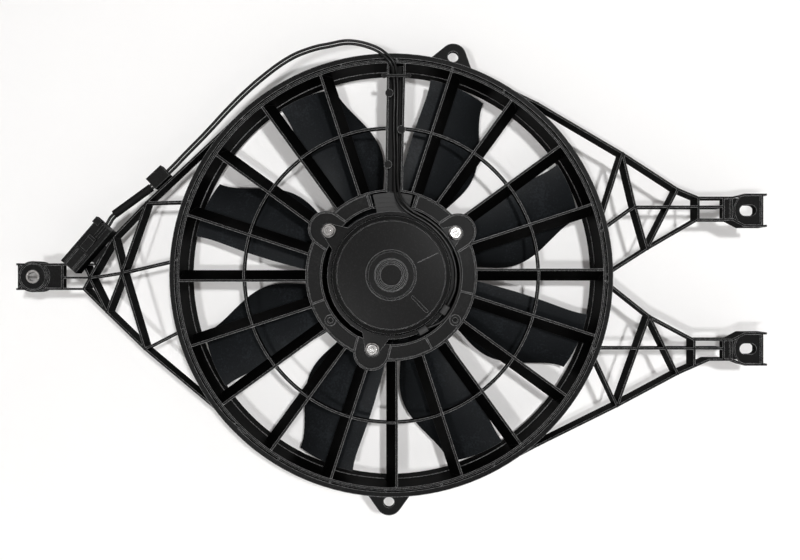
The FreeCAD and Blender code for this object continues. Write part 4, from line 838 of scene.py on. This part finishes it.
@dataclass
class MotorScrews:
    """Three zinc-plated screws with a dished hexagon head on a flange, in metres."""

    circle: float = 0.0735
    angles: tuple[float, ...] = (33.3, 144.6, 255.6)
    seat: float = 0.0015
    flange_radius: float = 0.0068
    across_flats: float = 0.010
    height: float = 0.0054
    chamfer: float = 0.0007
    corner_cut: float = 0.0002
    turn_step: float = 0.4

    def circle_of(self, shape: bmesh.types.BMesh, radius: float, level: float, turn: float) -> list[Any]:
        """Adds a circle of vertices.

        Args:
            shape: The bmesh to add to.
            radius: Its radius.
            level: Where it is along Y.
            turn: How far it is turned, in radians.

        Returns:
            The vertices.
        """
        angles = (2 * math.pi * i / SCREW_SIDES + turn for i in range(SCREW_SIDES))
        return [shape.verts.new((radius * math.cos(a), level, radius * math.sin(a))) for a in angles]

    def hexagon(self, shape: bmesh.types.BMesh, level: float, widest: float, turn: float) -> list[Any]:
        """Adds the hexagon's outline as a ring of vertices, cut off at a radius.

        Args:
            shape: The bmesh to add to.
            level: Where it is along Y.
            widest: The radius that cuts off its corners.
            turn: How far it is turned, in radians.

        Returns:
            The vertices.
        """
        ring = []
        for i in range(SCREW_SIDES):
            angle = 2 * math.pi * i / SCREW_SIDES
            inside = (angle + math.pi / 6) % (math.pi / 3) - math.pi / 6
            reach = min(self.across_flats / 2 / math.cos(inside), widest)
            ring.append(shape.verts.new((reach * math.cos(angle + turn), level,
                                         reach * math.sin(angle + turn))))
        return ring

    def one(self, turn: float) -> bmesh.types.BMesh:
        """One screw about the origin, its flange's back at y = 0 and its head towards -Y.

        Args:
            turn: How far the hexagon is turned, in radians.

        Returns:
            The screw's mesh.
        """
        shape = bmesh.new()
        half, top = self.across_flats / 2, -self.height
        lathe([(0.0, 0.0), (self.flange_radius, 0.0), (self.flange_radius, -0.0005),
               (self.flange_radius - 0.0003, -0.0009), (half, -0.0016), (0.0, -0.0016)],
              SCREW_SIDES, shape)
        widest = half / math.cos(math.pi / 6) - self.corner_cut
        rings = [self.hexagon(shape, -0.0012, widest, turn),
                 self.hexagon(shape, top + self.chamfer, widest, turn),
                 self.hexagon(shape, top, half - self.corner_cut, turn)]
        for radius, depth in ((0.0033, 0.0), (0.0030, 0.0018), (0.0019, 0.0018), (0.0016, 0.0004)):
            rings.append(self.circle_of(shape, radius, top + depth, turn))
        for first, second in zip(rings, rings[1:]):
            for i in range(SCREW_SIDES):
                j = (i + 1) % SCREW_SIDES
                shape.faces.new((first[i], first[j], second[j], second[i]))
        shape.faces.new(rings[-1])
        shape.faces.new(rings[0])
        shank = [(0.0, -0.001), (0.0029, -0.001), (0.0029, 0.0135), (0.0022, 0.014), (0.0, 0.014)]
        lathe(shank, SHANK_SIDES, shape)
        return shape

    def build(self) -> None:
        """Makes the three screws."""
        for number, angle in enumerate(self.angles, start=1):
            shape = self.one(self.turn_step * number)
            radians = math.radians(angle)
            shift = (self.circle * math.cos(radians), self.seat, self.circle * math.sin(radians))
            bmesh.ops.translate(shape, verts=shape.verts[:], vec=shift)
            screw = new_piece("motor_screw_%d" % number, shape, ZINC, "shroud")
            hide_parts("motor_screws")
            LOG.info("motor screw %d at %.1f degrees", number, angle)


@dataclass
class CapRibs:
    """The pressed rib and the fine raised line on the motor's end cap."""

    face: float = -9.0
    inner: float = 27.5
    outer: float = 49.5
    rib: tuple[float, float, float] = (-45.5, 3.2, 0.9)
    line: tuple[float, float, float] = (25.3, 0.7, 0.3)

    def build(self) -> None:
        """Makes both, from their angle, width and height."""
        shape = bmesh.new()
        for angle, width, height in (self.rib, self.line):
            way = Vector((math.cos(math.radians(angle)), math.sin(math.radians(angle))))
            bar(shape, way * self.inner, way * self.outer, width, self.face - height, self.face + 0.4,
                8, min(0.3, height * 0.6))
        new_piece("cap_ribs", shape, PAINT, "shroud")
        LOG.info("cap ribs")


@dataclass
class ConnectorRibs:
    """Ribs, side rails, hood and corner block on the near side of the connector."""

    rear: tuple[float, float] = (-270.7, 47.0)
    angle: float = 229.2
    face: float = -13.2
    ribs: tuple[float, ...] = (-1.0, 1.5, 4.0)

    def spot(self, along: float, across: float) -> Vector:
        """A point of the connector, from its rear's middle, in millimetres."""
        cos, sin = math.cos(math.radians(self.angle)), math.sin(math.radians(self.angle))
        return Vector((self.rear[0] + along * cos - across * sin, self.rear[1] + along * sin + across * cos))

    def build(self) -> None:
        """Makes them as one piece of the housing."""
        shape = bmesh.new()
        for across in self.ribs:
            bar(shape, self.spot(0.4, across), self.spot(13.8, across), 1.0, self.face - 1.1, self.face + 0.5)
        for across in (8.7, -8.7):
            bar(shape, self.spot(0.3, across), self.spot(51.7, across), 1.1, self.face - 1.0, self.face + 0.5)
        bar(shape, self.spot(31.0, 0.0), self.spot(51.7, 0.0), 13.6, self.face - 0.7, self.face + 0.5)
        bar(shape, self.spot(33.0, 4.4), self.spot(51.7, 4.4), 1.2, self.face - 1.5, self.face)
        bar(shape, self.spot(33.0, -4.4), self.spot(51.7, -4.4), 1.2, self.face - 1.5, self.face)
        bar(shape, self.spot(-1.8, -7.0), self.spot(4.4, -7.0), 7.2, self.face - 2.4, self.face + 5.0)
        new_piece("connector_ribs", shape, NYLON, "shroud")
        LOG.info("connector ribs")


def dress_carried_over() -> None:
    """Gives every CAD node that stays its finish."""
    for name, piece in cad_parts.items():
        finish = CARRIED_OVER[name]
        piece.data.materials.clear()
        piece.data.materials.append(finish.material())
        for face in piece.data.polygons:
            face.material_index = 0
        LOG.info("%s: %s", name, finish.name)


def main() -> None:
    """Builds the studio and every piece of the part."""
    logging.basicConfig(level=logging.INFO, format="%(name)s %(message)s")
    Studio().build()
    dress_carried_over()
    for maker in (Leads(), MotorScrews(), CapRibs(), ConnectorRibs()):
        maker.build()


if __name__ == "__main__":
    main()
